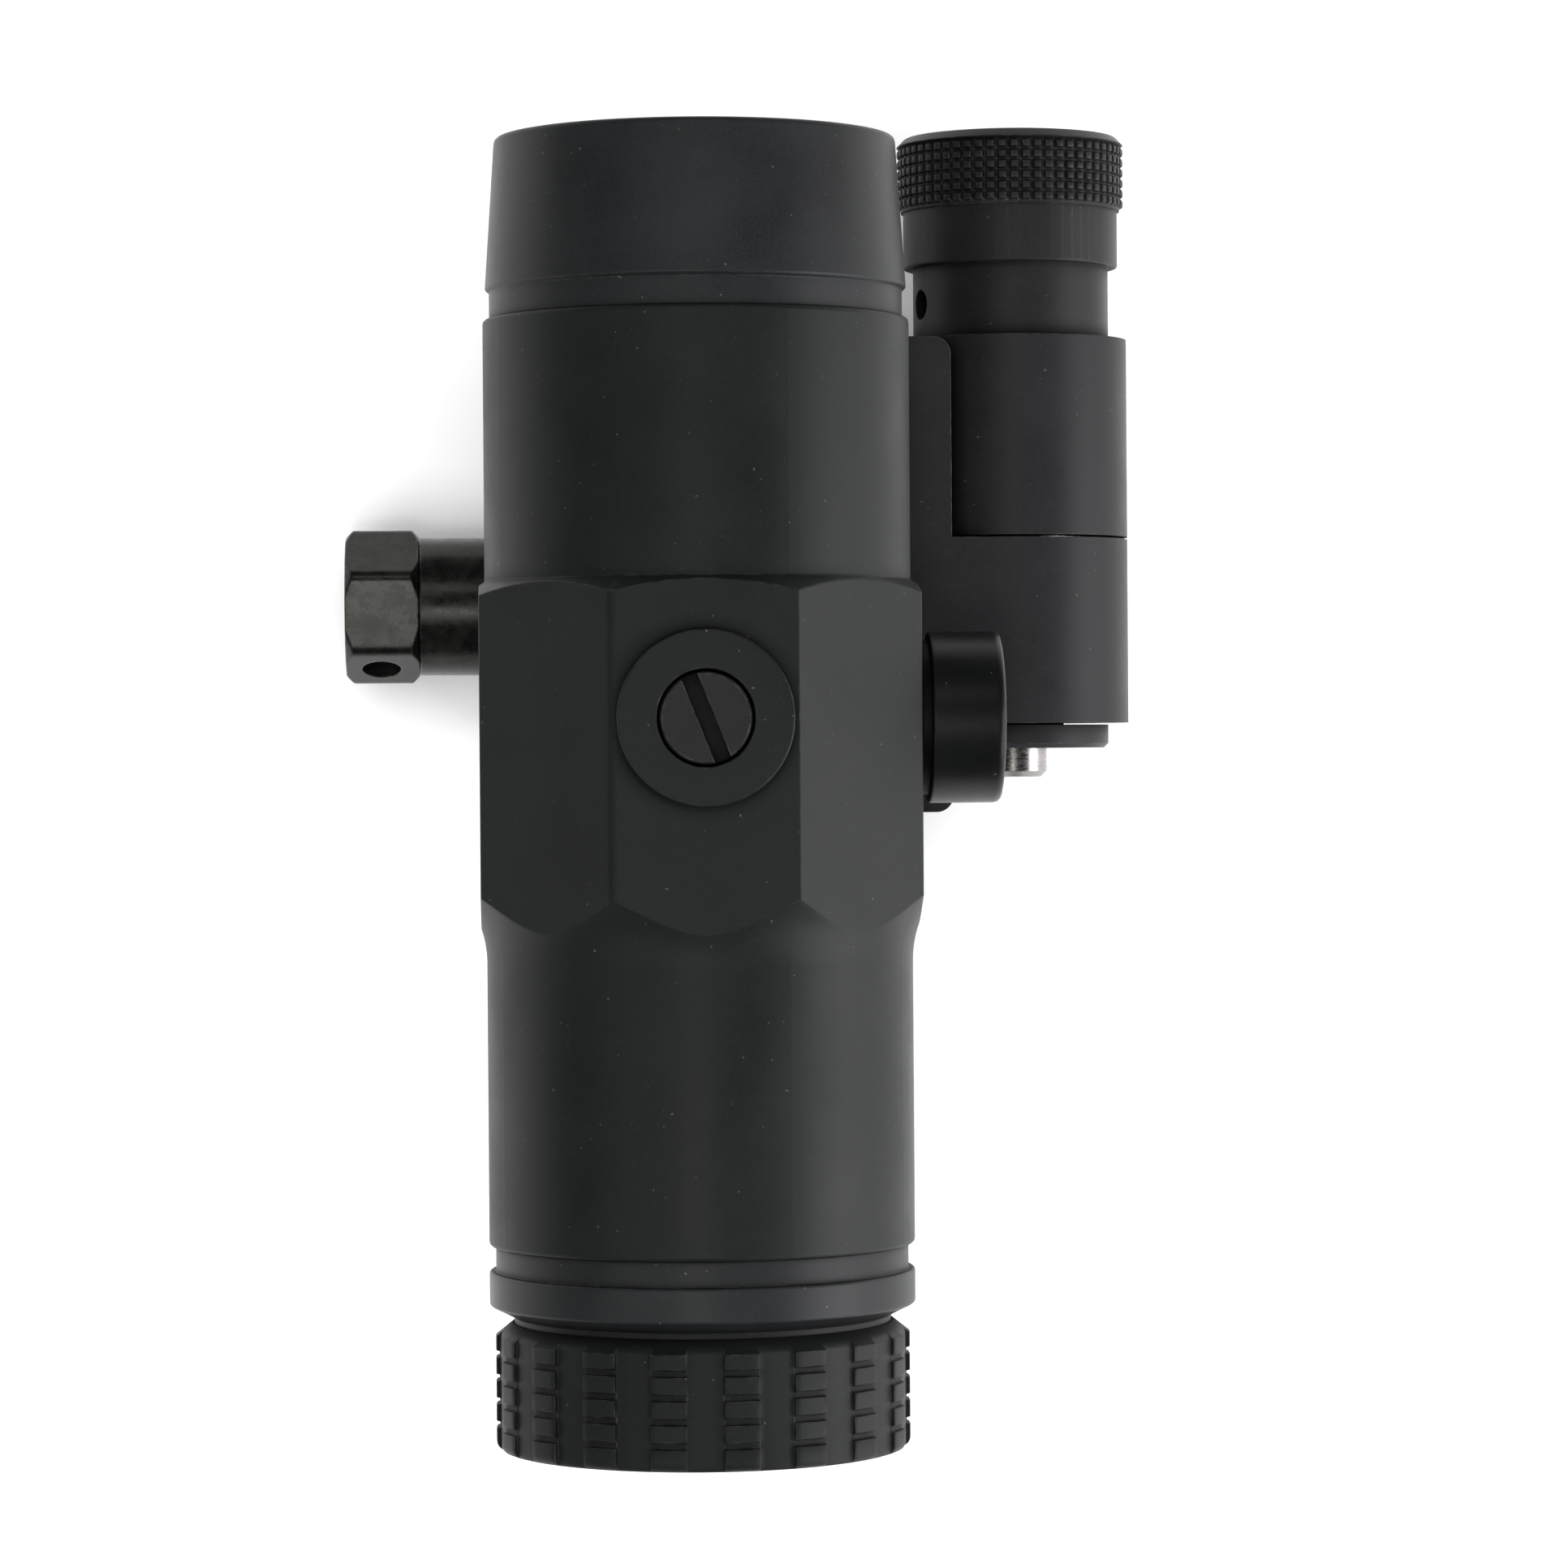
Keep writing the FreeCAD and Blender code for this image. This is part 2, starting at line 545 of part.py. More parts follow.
def erector_pieces():
    made = []
    edge_r = of.erector_bore_r - of.fit_gap
    ends = {"front": (of.erector_front - of.erector_seat, 1),
            "rear": (of.pivot_y - of.pivot_half + of.erector_seat, -1)}
    for side, (seat, way) in ends.items():
        near = seat + way * of.fit_gap.number
        far = near + of.erector_lens * way
        front, back = (far, near) if way > 0 else (near, far)
        made.append(lens("erector_%s_lens" % side, edge_r, front, back,
                         of.erector_curve, of.erector_curve))
        ring_start = far - of.fit_gap * way
        made.append(tube("erector_%s_ring" % side, edge_r, of.erector_clear_r, ring_start,
                         ring_start + of.erector_ring * way, OPTICAL))
    return made


def pivot_pieces():
    at = (0, of.pivot_y, of.axis_height)
    half = of.pivot_half
    carrier = tube("carrier_turned", of.tube_bore_r - of.fit_gap, of.carrier_bore_r,
                   half + of.carrier_front, -half + of.part_gap, at)
    fit_r = of.gimbal_pin_r + of.fit_gap
    run_r = of.gimbal_pin_r + of.run_gap
    carrier = less("pivot_carrier", carrier,
                   rod("carrier_holes", fit_r, -of.tube_r, of.tube_r, at, "X"))
    ring = less("gimbal_ring", tube("gimbal_turned", of.gimbal_r, of.gimbal_bore_r, half, -half, at),
                rod("gimbal_run_holes", run_r, -of.tube_r, of.tube_r, at, "X"),
                rod("gimbal_fit_holes", fit_r, -of.tube_r, of.tube_r, at, "Z"))
    pins = []
    for name, axis, inner, outer in (("gimbal_outer_pins", "X", of.pin_inner_r, of.pin_outer_r),
                                     ("gimbal_inner_pins", "Z", of.pin_deep_r, of.pin_rim_r)):
        sides = [rod(name + "_plus", of.gimbal_pin_r, inner, outer, at, axis),
                 rod(name + "_minus", of.gimbal_pin_r, -outer, -inner, at, axis)]
        pins.append(joined(name, *sides))
    return [carrier, ring] + pins


def bias_spring():
    """A leaf that leans from the pivot carrier towards the erector, opposite both adjusters."""
    thick = of.leaf_thick
    root_r = of.tube_bore_r - of.part_gap
    root_end = of.pivot_y + of.pivot_half + of.carrier_front + of.part_gap / 2
    points = [
        (root_r - thick, of.leaf_root), (of.leaf_tip_r, of.leaf_bend),
        (of.leaf_tip_r + of.leaf_rise, of.leaf_tip), (of.leaf_tip_r + of.leaf_rise + thick, of.leaf_tip),
        (of.leaf_tip_r + thick, of.leaf_bend), (root_r, of.leaf_root + thick),
        (root_r, root_end), (root_r - thick, root_end),
    ]
    body = plate("bias_spring", "XY", points, of.leaf_width, both=True)
    place(body, OPTICAL, Rotation(Vector(0, 1, 0), SIZES["leaf_angle"]))
    return body


# ---- adjusters --------------------------------------------------------------------------

def adjuster(name, axis, stand, at):
    """A turret housing, its slotted screw, the plunger it drives and its seal."""
    top = of.facet_apothem + stand
    foot = of.facet_apothem + of.fit_gap
    bore_r = of.screw_stem_r + of.run_gap
    well = top - of.screw_head - of.run_gap
    points = [(bore_r, of.turret_shank_in), (of.turret_shank_r, of.turret_shank_in),
              (of.turret_shank_r, foot)]
    if stand.number > of.turret_low.number:
        points += [(of.turret_neck_r, foot), (of.turret_neck_r, foot + of.turret_neck),
                   (of.turret_r, foot + of.turret_neck)]
    else:
        points += [(of.turret_r, foot)]
    chamfer = of.turret_chamfer if stand.number > of.turret_low.number else of.edge_break / 2
    points += [(of.turret_r, top - chamfer), (of.turret_r - chamfer, top),
               (of.screw_well_r, top), (of.screw_well_r, well), (bore_r, well)]
    housing = turned(name + "_turret_stock", points, at, axis)
    bore_in_r = of.plunger_r + of.run_gap
    plunger_in = of.erector_r + of.plunger_gap
    plunger_top = plunger_in + of.plunger_length
    screw_in = of.screw_stem_in
    stock = turned(name + "_screw_stock", [
        (bore_in_r, screw_in), (of.screw_stem_r, screw_in), (of.screw_stem_r, top - of.screw_head),
        (of.screw_r, top - of.screw_head), (of.screw_r, top - of.fine_ease),
        (of.screw_r - of.fine_ease, top),
        (0, top), (0, plunger_top + of.plunger_room), (bore_in_r, plunger_top + of.plunger_room),
    ], at, axis)
    half = of.slot_width / 2
    reach = of.screw_r + of.past
    slot = block(name + "_slot", -half, half, -reach, reach, -of.slot_depth, of.slot_depth)
    across = {"Z": Rotation(Vector(0, 0, 1), SIZES["slot_angle"]),
              "X": Rotation(Vector(1, 0, 0), SIZES["slot_angle"]).multiply(ROD_AXES["X"])}[axis]
    corner = across.multVec(Vector(1, 0, 0))
    side = across.multVec(Vector(0, 1, 0))
    outward = across.multVec(Vector(0, 0, 1))
    place(slot, [as_size(p) + (-half) * round(c, 12) + (-reach) * round(s, 12)
                 + (top - of.slot_depth) * round(o, 12)
                 for p, c, s, o in zip(at, corner, side, outward)], across)
    screw = less(name + "_screw", stock, slot)
    plunger = rod(name + "_plunger", of.plunger_r, plunger_in, plunger_top, at, axis)
    ring_station = foot - of.adjuster_seal_in
    centre = [as_size(p) + ring_station * (1.0 if letter == axis else 0.0)
              for p, letter in zip(at, "XYZ")]
    ring = seal(name + "_seal", of.turret_shank_r - of.adjuster_seal_wire_r,
                of.adjuster_seal_wire_r, centre, axis)
    groove = tube(name + "_seal_groove", of.turret_shank_r + of.past,
                  of.turret_shank_r - of.adjuster_seal_wire_r * 2,
                  ring_station - of.adjuster_seal_half, ring_station + of.adjuster_seal_half,
                  at, axis)
    return [less(name + "_turret", housing, groove), screw, plunger, ring]


# ---- flip arm ---------------------------------------------------------------------------

def arm_pieces():
    spacer_stock = block("spacer_stock", -of.spacer_half, of.spacer_half, of.spacer_back,
                         of.spacer_front, ARM_TOP, ARM_TOP + of.spacer)
    slab = plate("arm_slab", "XY", [
        (of.arm_left, of.arm_back), (of.arm_right, of.arm_back),
        (of.arm_right, of.arm_front), (of.arm_left, of.arm_front),
    ], of.arm_thick, (0, 0, ARM_UNDER))
    rounded(slab, of.arm_round, upright)
    knuckle = rod("arm_knuckle", of.barrel_r, of.knuckle_back, of.knuckle_front, HINGE)
    web = block("arm_web", of.hinge_x - of.barrel_r + of.part_gap, of.hinge_x, of.knuckle_back,
                of.knuckle_front, of.hinge_z, of.hinge_z + of.barrel_r)
    front_relief = rod("arm_front_relief", of.relief_r, of.knuckle_front,
                       of.arm_front + of.past, HINGE)
    back_relief = rod("arm_back_relief", of.cap_relief_r, of.arm_back - of.past,
                      of.knuckle_back, HINGE)
    bore = rod("arm_bore", of.sleeve_r + of.run_gap, of.knuckle_back - of.past,
               of.knuckle_front + of.past, HINGE)
    tools = [front_relief, back_relief, bore]
    spacer_holes = []
    screws = []
    for name, station in (("front", of.arm_screw_front), ("back", of.arm_screw_back)):
        at = (0, station, 0)
        hole = rod("arm_hole_" + name, of.screw_hole_r, ARM_UNDER - of.past,
                   ARM_TOP + of.spacer + of.past, at, "Z")
        head = ARM_UNDER + of.part_gap
        sink_r = of.arm_screw_head_r + of.part_gap / 2
        sink = turned("arm_sink_" + name, [
            (0, ARM_UNDER - of.past), (sink_r, ARM_UNDER - of.past), (sink_r, head + of.snap_gap),
            (of.screw_hole_r, ARM_UNDER + of.arm_screw_head + of.fine_ease),
            (0, ARM_UNDER + of.arm_screw_head + of.fine_ease),
        ], at, "Z")
        tools += [hole, sink]
        spacer_holes.append(hole)
        end = of.axis_height - of.tube_bore_r - of.part_gap
        shank = turned("arm_screw_shank_" + name, [
            (0, head), (of.arm_screw_head_r, head), (of.arm_screw_r, head + of.arm_screw_head),
            (of.arm_screw_r, end), (0, end),
        ], at, "Z")
        socket = doc.addObject("Part::Prism", "arm_screw_socket_" + name)
        socket.Polygon = 6
        bind(socket, "Circumradius", of.arm_screw_socket / math.sqrt(3))
        bind(socket, "Height", of.past)
        place(socket, (0, station, head + of.arm_socket_top - of.past), Rotation())
        screws.append(less("arm_screw_" + name, shank, socket))
    arm = less("flip_arm", joined("arm_stock", slab, knuckle, web), *tools)
    spacer = less("spacer_plate", spacer_stock, *spacer_holes)
    return [arm, spacer, joined("arm_screws", *screws)]


# ---- hinge and push button --------------------------------------------------------------

def hinge_pieces():
    rod_bore_r = of.rod_r + of.run_gap
    sleeve = turned("hinge_sleeve", [
        (rod_bore_r, of.spring_seat), (of.spring_well_r, of.spring_seat),
        (of.spring_well_r, of.sleeve_front), (of.sleeve_r, of.sleeve_front),
        (of.sleeve_r, of.knuckle_back), (of.cap_hub_r + of.fit_gap, of.knuckle_back),
        (of.cap_hub_r + of.fit_gap, of.cap_hub), (rod_bore_r, of.cap_hub),
    ], HINGE)
    cap_front = of.knuckle_back - of.cap_gap
    cap = turned("end_cap", [
        (rod_bore_r, of.cap_back), (of.cap_r - of.edge_break, of.cap_back),
        (of.cap_r, of.cap_back + of.edge_break), (of.cap_r, cap_front),
        (of.cap_hub_r, cap_front), (of.cap_hub_r, of.cap_hub - of.fit_gap),
        (rod_bore_r, of.cap_hub - of.fit_gap),
    ], HINGE)
    bush = tube("rod_bush", of.spring_well_r - of.fit_gap, rod_bore_r, of.bush_back,
                of.sleeve_front, HINGE)
    lock = tube("lock_collar", of.lock_r, of.rod_r + of.fit_gap, of.lock_back, of.lock_front,
                HINGE)
    return [sleeve, cap, bush, lock]


def return_spring():
    length = of.lock_back - of.spring_seat - of.spring_wire_r * 2 - of.part_gap
    coil = doc.addObject("Part::Helix", "spring_path")
    bind(coil, "Height", length)
    bind(coil, "Pitch", length / of.spring_turns)
    bind(coil, "Radius", of.spring_mean_r)
    start = of.spring_seat + of.spring_wire_r + of.part_gap / 2
    place(coil, (of.hinge_x, start, of.hinge_z), ROD_AXES["Y"])
    wire = doc.addObject("Part::Circle", "spring_wire")
    bind(wire, "Radius", of.spring_wire_r)
    place(wire, (of.hinge_x + of.spring_mean_r, start, of.hinge_z), Rotation())
    spring = doc.addObject("Part::Sweep", "return_spring")
    spring.Sections = [wire]
    spring.Spine = (coil, [])
    spring.Solid = True
    spring.Frenet = True
    return spring


def button_pieces():
    turn = Rotation(Vector(0, 1, 0), -90 + SIZES["knob_pin_angle"])
    pin_at = (of.hinge_x, of.knob_pin_y, of.hinge_z)
    hole_r = of.knob_pin_r + of.fit_gap
    bar = turned("rod_turned", [
        (0, of.rod_back), (of.rod_r - of.rod_tip, of.rod_back),
        (of.rod_r, of.rod_back + of.rod_tip), (of.rod_r, of.rod_front), (0, of.rod_front),
    ], HINGE)
    hinge_rod = less("hinge_rod", bar, rod("rod_cross_hole", hole_r,
                                           of.knob_pin_end - of.past,
                                           of.knob_neck_r + of.past, pin_at, "Z", turn))
    bore_r = of.rod_r + of.fit_gap
    chamfer = of.knob_chamfer
    ease = of.knob_ease
    stock = turned("knob_turned", [
        (bore_r, of.knob_back), (of.knob_neck_r, of.knob_back), (of.knob_neck_r, of.knob_band),
        (of.knob_band_r - ease, of.knob_band), (of.knob_band_r, of.knob_band + ease),
        (of.knob_band_r, of.knob_head), (of.knob_head_r - ease, of.knob_head),
        (of.knob_head_r, of.knob_head + ease), (of.knob_head_r, of.knob_front - chamfer),
        (of.knob_head_r - chamfer, of.knob_front), (of.knob_dish_r, of.knob_front),
        (of.knob_dish_r - of.knob_dish, of.knob_front - of.knob_dish),
        (0, of.knob_front - of.knob_dish), (0, of.rod_front + of.fit_gap),
        (bore_r, of.rod_front + of.fit_gap),
    ], HINGE)
    knob = less("release_knob", stock, rod("knob_cross_hole", hole_r,
                                           of.knob_pin_end - of.part_gap / 2,
                                           of.knob_neck_r + of.past, pin_at, "Z", turn))
    pin = rod("knob_pin", of.knob_pin_r, of.knob_pin_end, of.knob_pin_top, pin_at, "Z", turn)
    return [hinge_rod, knob, pin]


# ---- rail base and clamp ----------------------------------------------------------------

def rail_hollow():
    """The space a rail fills: flat top, bevels out to its widest, lands and bevels back in."""
    low = of.rail_bevel + of.rail_land
    neck = low + of.rail_bevel
    points = [
        (-of.rail_top_half, 0), (of.rail_top_half, 0), (of.rail_wide_half, -of.rail_bevel),
        (of.rail_wide_half, -low), (of.rail_top_half, -neck), (of.rail_top_half, -neck - of.past),
        (-of.rail_top_half, -neck - of.past), (-of.rail_top_half, -neck),
        (-of.rail_wide_half, -low), (-of.rail_wide_half, -of.rail_bevel),
    ]
    return plate("rail_hollow", "XZ", points, (of.base_front - of.base_back) + of.past * 2,
                 (0, of.base_front + of.past, 0))


def rail_base(hollow):
    deck = plate("base_deck", "XY", [
        (of.base_left, of.base_back), (of.base_right, of.base_back),
        (of.base_right, of.base_front), (of.base_left, of.base_front),
    ], of.base_top)
    rounded(deck, of.base_round, upright)
    lip = block("base_lip", of.rail_top_half - of.fit_gap, of.base_right, of.base_back,
                of.base_front, of.lip_bottom, of.base_round)
    barrel = rod("base_barrel", of.barrel_r, of.knuckle_front + of.part_gap, of.barrel_front,
                 HINGE)
    web = block("base_web", of.base_right - of.past, of.hinge_x,
                of.knuckle_front + of.part_gap, of.base_front, of.hinge_z - of.barrel_r, of.base_top)
    tools = [
        hollow,
        rod("base_sleeve_bore", of.sleeve_r + of.fit_gap, 0, of.barrel_front, HINGE),
        rod("base_knob_well", of.barrel_well_r, of.barrel_well, of.barrel_front + of.past, HINGE),
        rod("base_bolt_hole", of.bolt_r + of.run_gap, of.base_left - of.past,
            of.base_right + of.past, CLAMP, "X"),
        rod("base_bolt_well", of.bolt_well_r, of.bolt_head_in - of.fit_gap,
            of.base_right + of.past, CLAMP, "X"),
        block("base_jaw_relief", of.base_left - of.past, -of.rail_top_half + of.run_gap,
              of.base_back - of.past, of.base_front + of.past, -of.past, of.seat_relief),
    ]
    for side, station in (("front", of.guide_y), ("back", -of.guide_y)):
        tools.append(rod("base_guide_" + side, of.guide_r + of.fit_gap, of.base_left - of.past,
                         -of.guide_in + of.fit_gap, (0, station, of.guide_z), "X"))
    for side, station in (("front", of.stop_front), ("back", of.stop_back)):
        tools.append(rod("base_stop_" + side, of.stop_r + of.fit_gap,
                         of.base_top - of.stop_deep, of.base_top + of.past, (of.stop_x, station, 0), "Z"))
    return less("rail_base", joined("base_stock", deck, lip, barrel, web), *tools)


def clamp_pieces(hollow):
    jaw_stock = block("jaw_stock", -of.jaw_out, -of.jaw_in, -of.jaw_half, of.jaw_half,
                      of.lip_bottom, of.jaw_top)
    jaw_lip = block("jaw_lip", -of.jaw_in - of.past, -of.rail_top_half, -of.jaw_half, of.jaw_half,
                    of.lip_bottom, -of.part_gap)
    jaw_tools = [hollow, rod("jaw_bolt_hole", of.bolt_r + of.run_gap, -of.jaw_out - of.past,
                             -of.rail_top_half + of.past, CLAMP, "X")]
    guides = []
    for side, station in (("front", of.guide_y), ("back", -of.guide_y)):
        at = (0, station, of.guide_z)
        jaw_tools.append(rod("jaw_guide_" + side, of.guide_r + of.run_gap, -of.jaw_out - of.past,
                             -of.jaw_in + of.past, at, "X"))
        guides.append(rod("jaw_guide_pin_" + side, of.guide_r, -of.guide_out, -of.guide_in,
                          at, "X"))
    jaw = less("clamp_jaw", joined("jaw_blank", jaw_stock, jaw_lip), *jaw_tools)
    bolt = turned("clamp_bolt", [
        (0, -of.bolt_head_out), (of.bolt_head_r - of.edge_break, -of.bolt_head_out),
        (of.bolt_head_r, -of.bolt_head_out + of.edge_break), (of.bolt_head_r, -of.bolt_head_in),
        (of.bolt_r, -of.bolt_head_in), (of.bolt_r, of.bolt_end - of.edge_break),
        (of.bolt_r - of.edge_break, of.bolt_end), (0, of.bolt_end),
    ], CLAMP, "-X")
    washer = tube("clamp_collar", of.washer_r, of.bolt_r + of.run_gap, of.jaw_out + of.fit_gap,
                  of.washer_out, CLAMP, "-X")
    return [jaw, bolt, washer, joined("jaw_guide_pins", *guides)]


def clamp_nut():
    """A hex nut with chamfered ends and a hole through it for a bar."""
    prism = doc.addObject("Part::Prism", "nut_prism")
    prism.Polygon = 6
    bind(prism, "Circumradius", of.nut_across / math.sqrt(3))
    bind(prism, "Height", of.nut_out - of.nut_in)
    clock = Rotation(Vector(1, 0, 0), 30 + SIZES["nut_clock"])
    place(prism, (-of.nut_out, 0, of.bolt_z), clock.multiply(ROD_AXES["X"]))
    corner_r = of.nut_across / math.sqrt(3) + of.part_gap / 2
    bore_r = of.bolt_r + of.run_gap
    shell = turned("nut_shell", [
        (bore_r, of.nut_in), (of.nut_chamfer_r, of.nut_in), (corner_r, of.nut_in + of.nut_chamfer),
        (corner_r, of.nut_out - of.nut_chamfer), (of.nut_chamfer_r, of.nut_out),
        (bore_r, of.nut_out),
    ], CLAMP, "-X")
    at = (-of.nut_hole_x, 0, of.bolt_z)
    turn = Rotation(Vector(1, 0, 0), SIZES["nut_hole_angle"])
    sides = [rod("nut_hole_up", of.nut_hole_r, of.nut_hole_deep_r, of.nut_out, at, "Z", turn),
             rod("nut_hole_down", of.nut_hole_r, -of.nut_out, -of.nut_hole_deep_r, at, "Z", turn)]
    return less("clamp_nut", common("nut_blank", prism, shell), *sides)


def stop_pads():
    pads = []
    for side, station in (("front", of.stop_front), ("back", of.stop_back)):
        pads.append(rod("stop_pad_" + side, of.stop_r, of.base_top - of.stop_deep,
                        of.base_top + of.stop_height, (of.stop_x, station, 0), "Z"))
    return joined("stop_pads", *pads)


# ---- assembly ---------------------------------------------------------------------------

def assembly():
    """Every sub-part, in the order it would go together."""
    hollow = rail_hollow()
    parts = [main_tube(), objective_bell()]
    parts += objective_glass()
    parts.append(slotted_ring("objective_retainer", of.hood_r - of.fit_gap,
                              of.objective_clear_r + 0.1, of.retainer_back, of.retainer_front))
    parts.append(seal("objective_seal", of.tube_bore_r - of.fit_gap - of.seal_wire_r,
                      of.seal_wire_r, (0, of.objective_seal_y, of.axis_height), "Y"))
    parts += [rear_collar(), focus_ring(), eyepiece_cell()]
    parts += eyepiece_pieces()
    parts.append(erector_tube())
    parts += erector_pieces()
    parts += pivot_pieces()
    parts.append(bias_spring())
    for name, (axis, stand, at) in TURRETS.items():
        parts += adjuster(name, axis, stand, at)
    parts += arm_pieces()
    parts += hinge_pieces()
    parts.append(return_spring())
    parts += button_pieces()
    parts.append(rail_base(hollow))
    parts += clamp_pieces(hollow)
    parts += [clamp_nut(), stop_pads()]
    return parts


def export(parts):
    """Checks the whole document, then writes each sub-part to its own file."""
    failed = [o.Name for o in doc.Objects if "Invalid" in o.State or "Error" in o.State]
    if failed:
        raise RuntimeError("not built: " + ", ".join(failed))
    for part in parts:
        if part.Shape.isNull() or not part.Shape.isValid() or not part.Shape.Solids:
            raise RuntimeError("bad shape: " + part.Label)
    os.makedirs("parts", exist_ok=True)
    for part in parts:
        part.Shape.exportStep("parts/" + part.Label + ".step")
        box = part.Shape.BoundBox
        print("%-22s %d solids %9.1f mm3  x %.2f..%.2f  y %.2f..%.2f  z %.2f..%.2f" % (
            part.Label, len(part.Shape.Solids), part.Shape.Volume, box.XMin, box.XMax,
            box.YMin, box.YMax, box.ZMin, box.ZMax))


made = assembly()
doc.recompute()
export(made)
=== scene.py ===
import json
import math

import bmesh
import bpy
from mathutils import Matrix, Vector


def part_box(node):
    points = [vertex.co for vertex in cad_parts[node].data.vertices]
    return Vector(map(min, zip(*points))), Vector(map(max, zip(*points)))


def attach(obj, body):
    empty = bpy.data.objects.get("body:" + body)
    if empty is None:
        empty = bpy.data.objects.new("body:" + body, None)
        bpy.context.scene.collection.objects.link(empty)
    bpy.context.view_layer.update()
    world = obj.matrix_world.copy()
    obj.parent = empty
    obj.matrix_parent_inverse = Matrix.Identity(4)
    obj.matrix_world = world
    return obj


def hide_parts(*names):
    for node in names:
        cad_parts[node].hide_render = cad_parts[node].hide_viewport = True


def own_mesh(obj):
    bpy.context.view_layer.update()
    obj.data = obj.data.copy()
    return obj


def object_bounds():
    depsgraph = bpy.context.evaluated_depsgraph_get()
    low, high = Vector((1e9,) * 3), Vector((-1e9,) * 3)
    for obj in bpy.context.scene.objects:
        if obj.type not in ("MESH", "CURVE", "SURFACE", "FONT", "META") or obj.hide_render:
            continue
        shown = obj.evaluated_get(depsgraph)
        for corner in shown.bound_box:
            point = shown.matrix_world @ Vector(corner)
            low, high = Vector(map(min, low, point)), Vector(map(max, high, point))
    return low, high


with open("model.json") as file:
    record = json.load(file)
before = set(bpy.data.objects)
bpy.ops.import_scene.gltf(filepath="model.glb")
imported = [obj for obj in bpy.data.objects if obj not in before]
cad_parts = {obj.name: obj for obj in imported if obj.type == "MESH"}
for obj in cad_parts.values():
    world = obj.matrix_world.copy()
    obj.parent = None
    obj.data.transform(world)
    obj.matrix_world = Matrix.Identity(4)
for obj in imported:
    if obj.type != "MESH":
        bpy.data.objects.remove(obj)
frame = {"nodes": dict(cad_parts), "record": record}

# Looks for a magnifier on a flip-to-side rail mount. Blender units are metres; sizes that are
# easier to read in millimetres are multiplied by MM. +Y is the objective end, +X the hinge side.

CAD_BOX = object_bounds()
MM = 0.001
NODES = frame["nodes"]
QUARTER = math.pi / 2


def span(node):
    """Lowest corner, highest corner and middle of a CAD node."""
    low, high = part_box(node)
    return low, high, (low + high) / 2


# ---- places read from the frame -----------------------------------------------------------

TUBE_LOW, TUBE_HIGH, _ = span("main_tube")
BELL_LOW, BELL_HIGH, _ = span("objective_bell")
RING_LOW, RING_HIGH, _ = span("focus_ring")
COLLAR_LOW, COLLAR_HIGH, _ = span("rear_collar")
KNOB_LOW, KNOB_HIGH, _ = span("release_knob")
NUT_LOW, NUT_HIGH, _ = span("clamp_nut")
_, _, ROD_MID = span("hinge_rod")
SLEEVE_LOW, SLEEVE_HIGH, SLEEVE_MID = span("clamp_collar")
TOP_LOW, TOP_HIGH, TOP_MID = span("elevation_turret")
_, SIDE_HIGH, SIDE_MID = span("windage_turret")

AXIS = Vector((0.0, 0.0, (BELL_LOW.z + BELL_HIGH.z) / 2))
HINGE = Vector((ROD_MID.x, 0.0, ROD_MID.z))
CLAMP = Vector((0.0, 0.0, SLEEVE_MID.z))
TOP_AXIS = Vector((0.0, TOP_MID.y, AXIS.z))
SIDE_AXIS = Vector((0.0, SIDE_MID.y, AXIS.z))

ALONG_Y = Matrix.Identity(3)
ALONG_X = Matrix.Rotation(-QUARTER, 3, "Z")
ALONG_MINUS_X = Matrix.Rotation(QUARTER, 3, "Z")
ALONG_Z = Matrix.Rotation(QUARTER, 3, "X")

TUBE_R = (COLLAR_HIGH.x - COLLAR_LOW.x) / 2
BELL_R = (BELL_HIGH.x - BELL_LOW.x) / 2
RING_R = (RING_HIGH.z - RING_LOW.z) / 2
KNOB_HEAD_R = (KNOB_HIGH.x - KNOB_LOW.x) / 2
FLAT = (TUBE_HIGH.x - TUBE_LOW.x) / 2
GROOVE_R = TUBE_R - 0.55 * MM

SLOTS = {part["node"]: part["material_slot"] for part in frame["record"]["subparts"]}
BODIES = {node: body for body, nodes in frame["record"]["behaviour"]["bodies"].items()
          for node in nodes}


# ---- materials ----------------------------------------------------------------------------

CREVICE_SHADE_REACH = 1.6 * MM    # how far round a point is looked at to find slots and grooves, where the colour is darkened as painted shade
DUST = (0.22, 0.22, 0.21)
OXIDE_IOR = 1.25            # low, so that black finishes stay dark under soft light


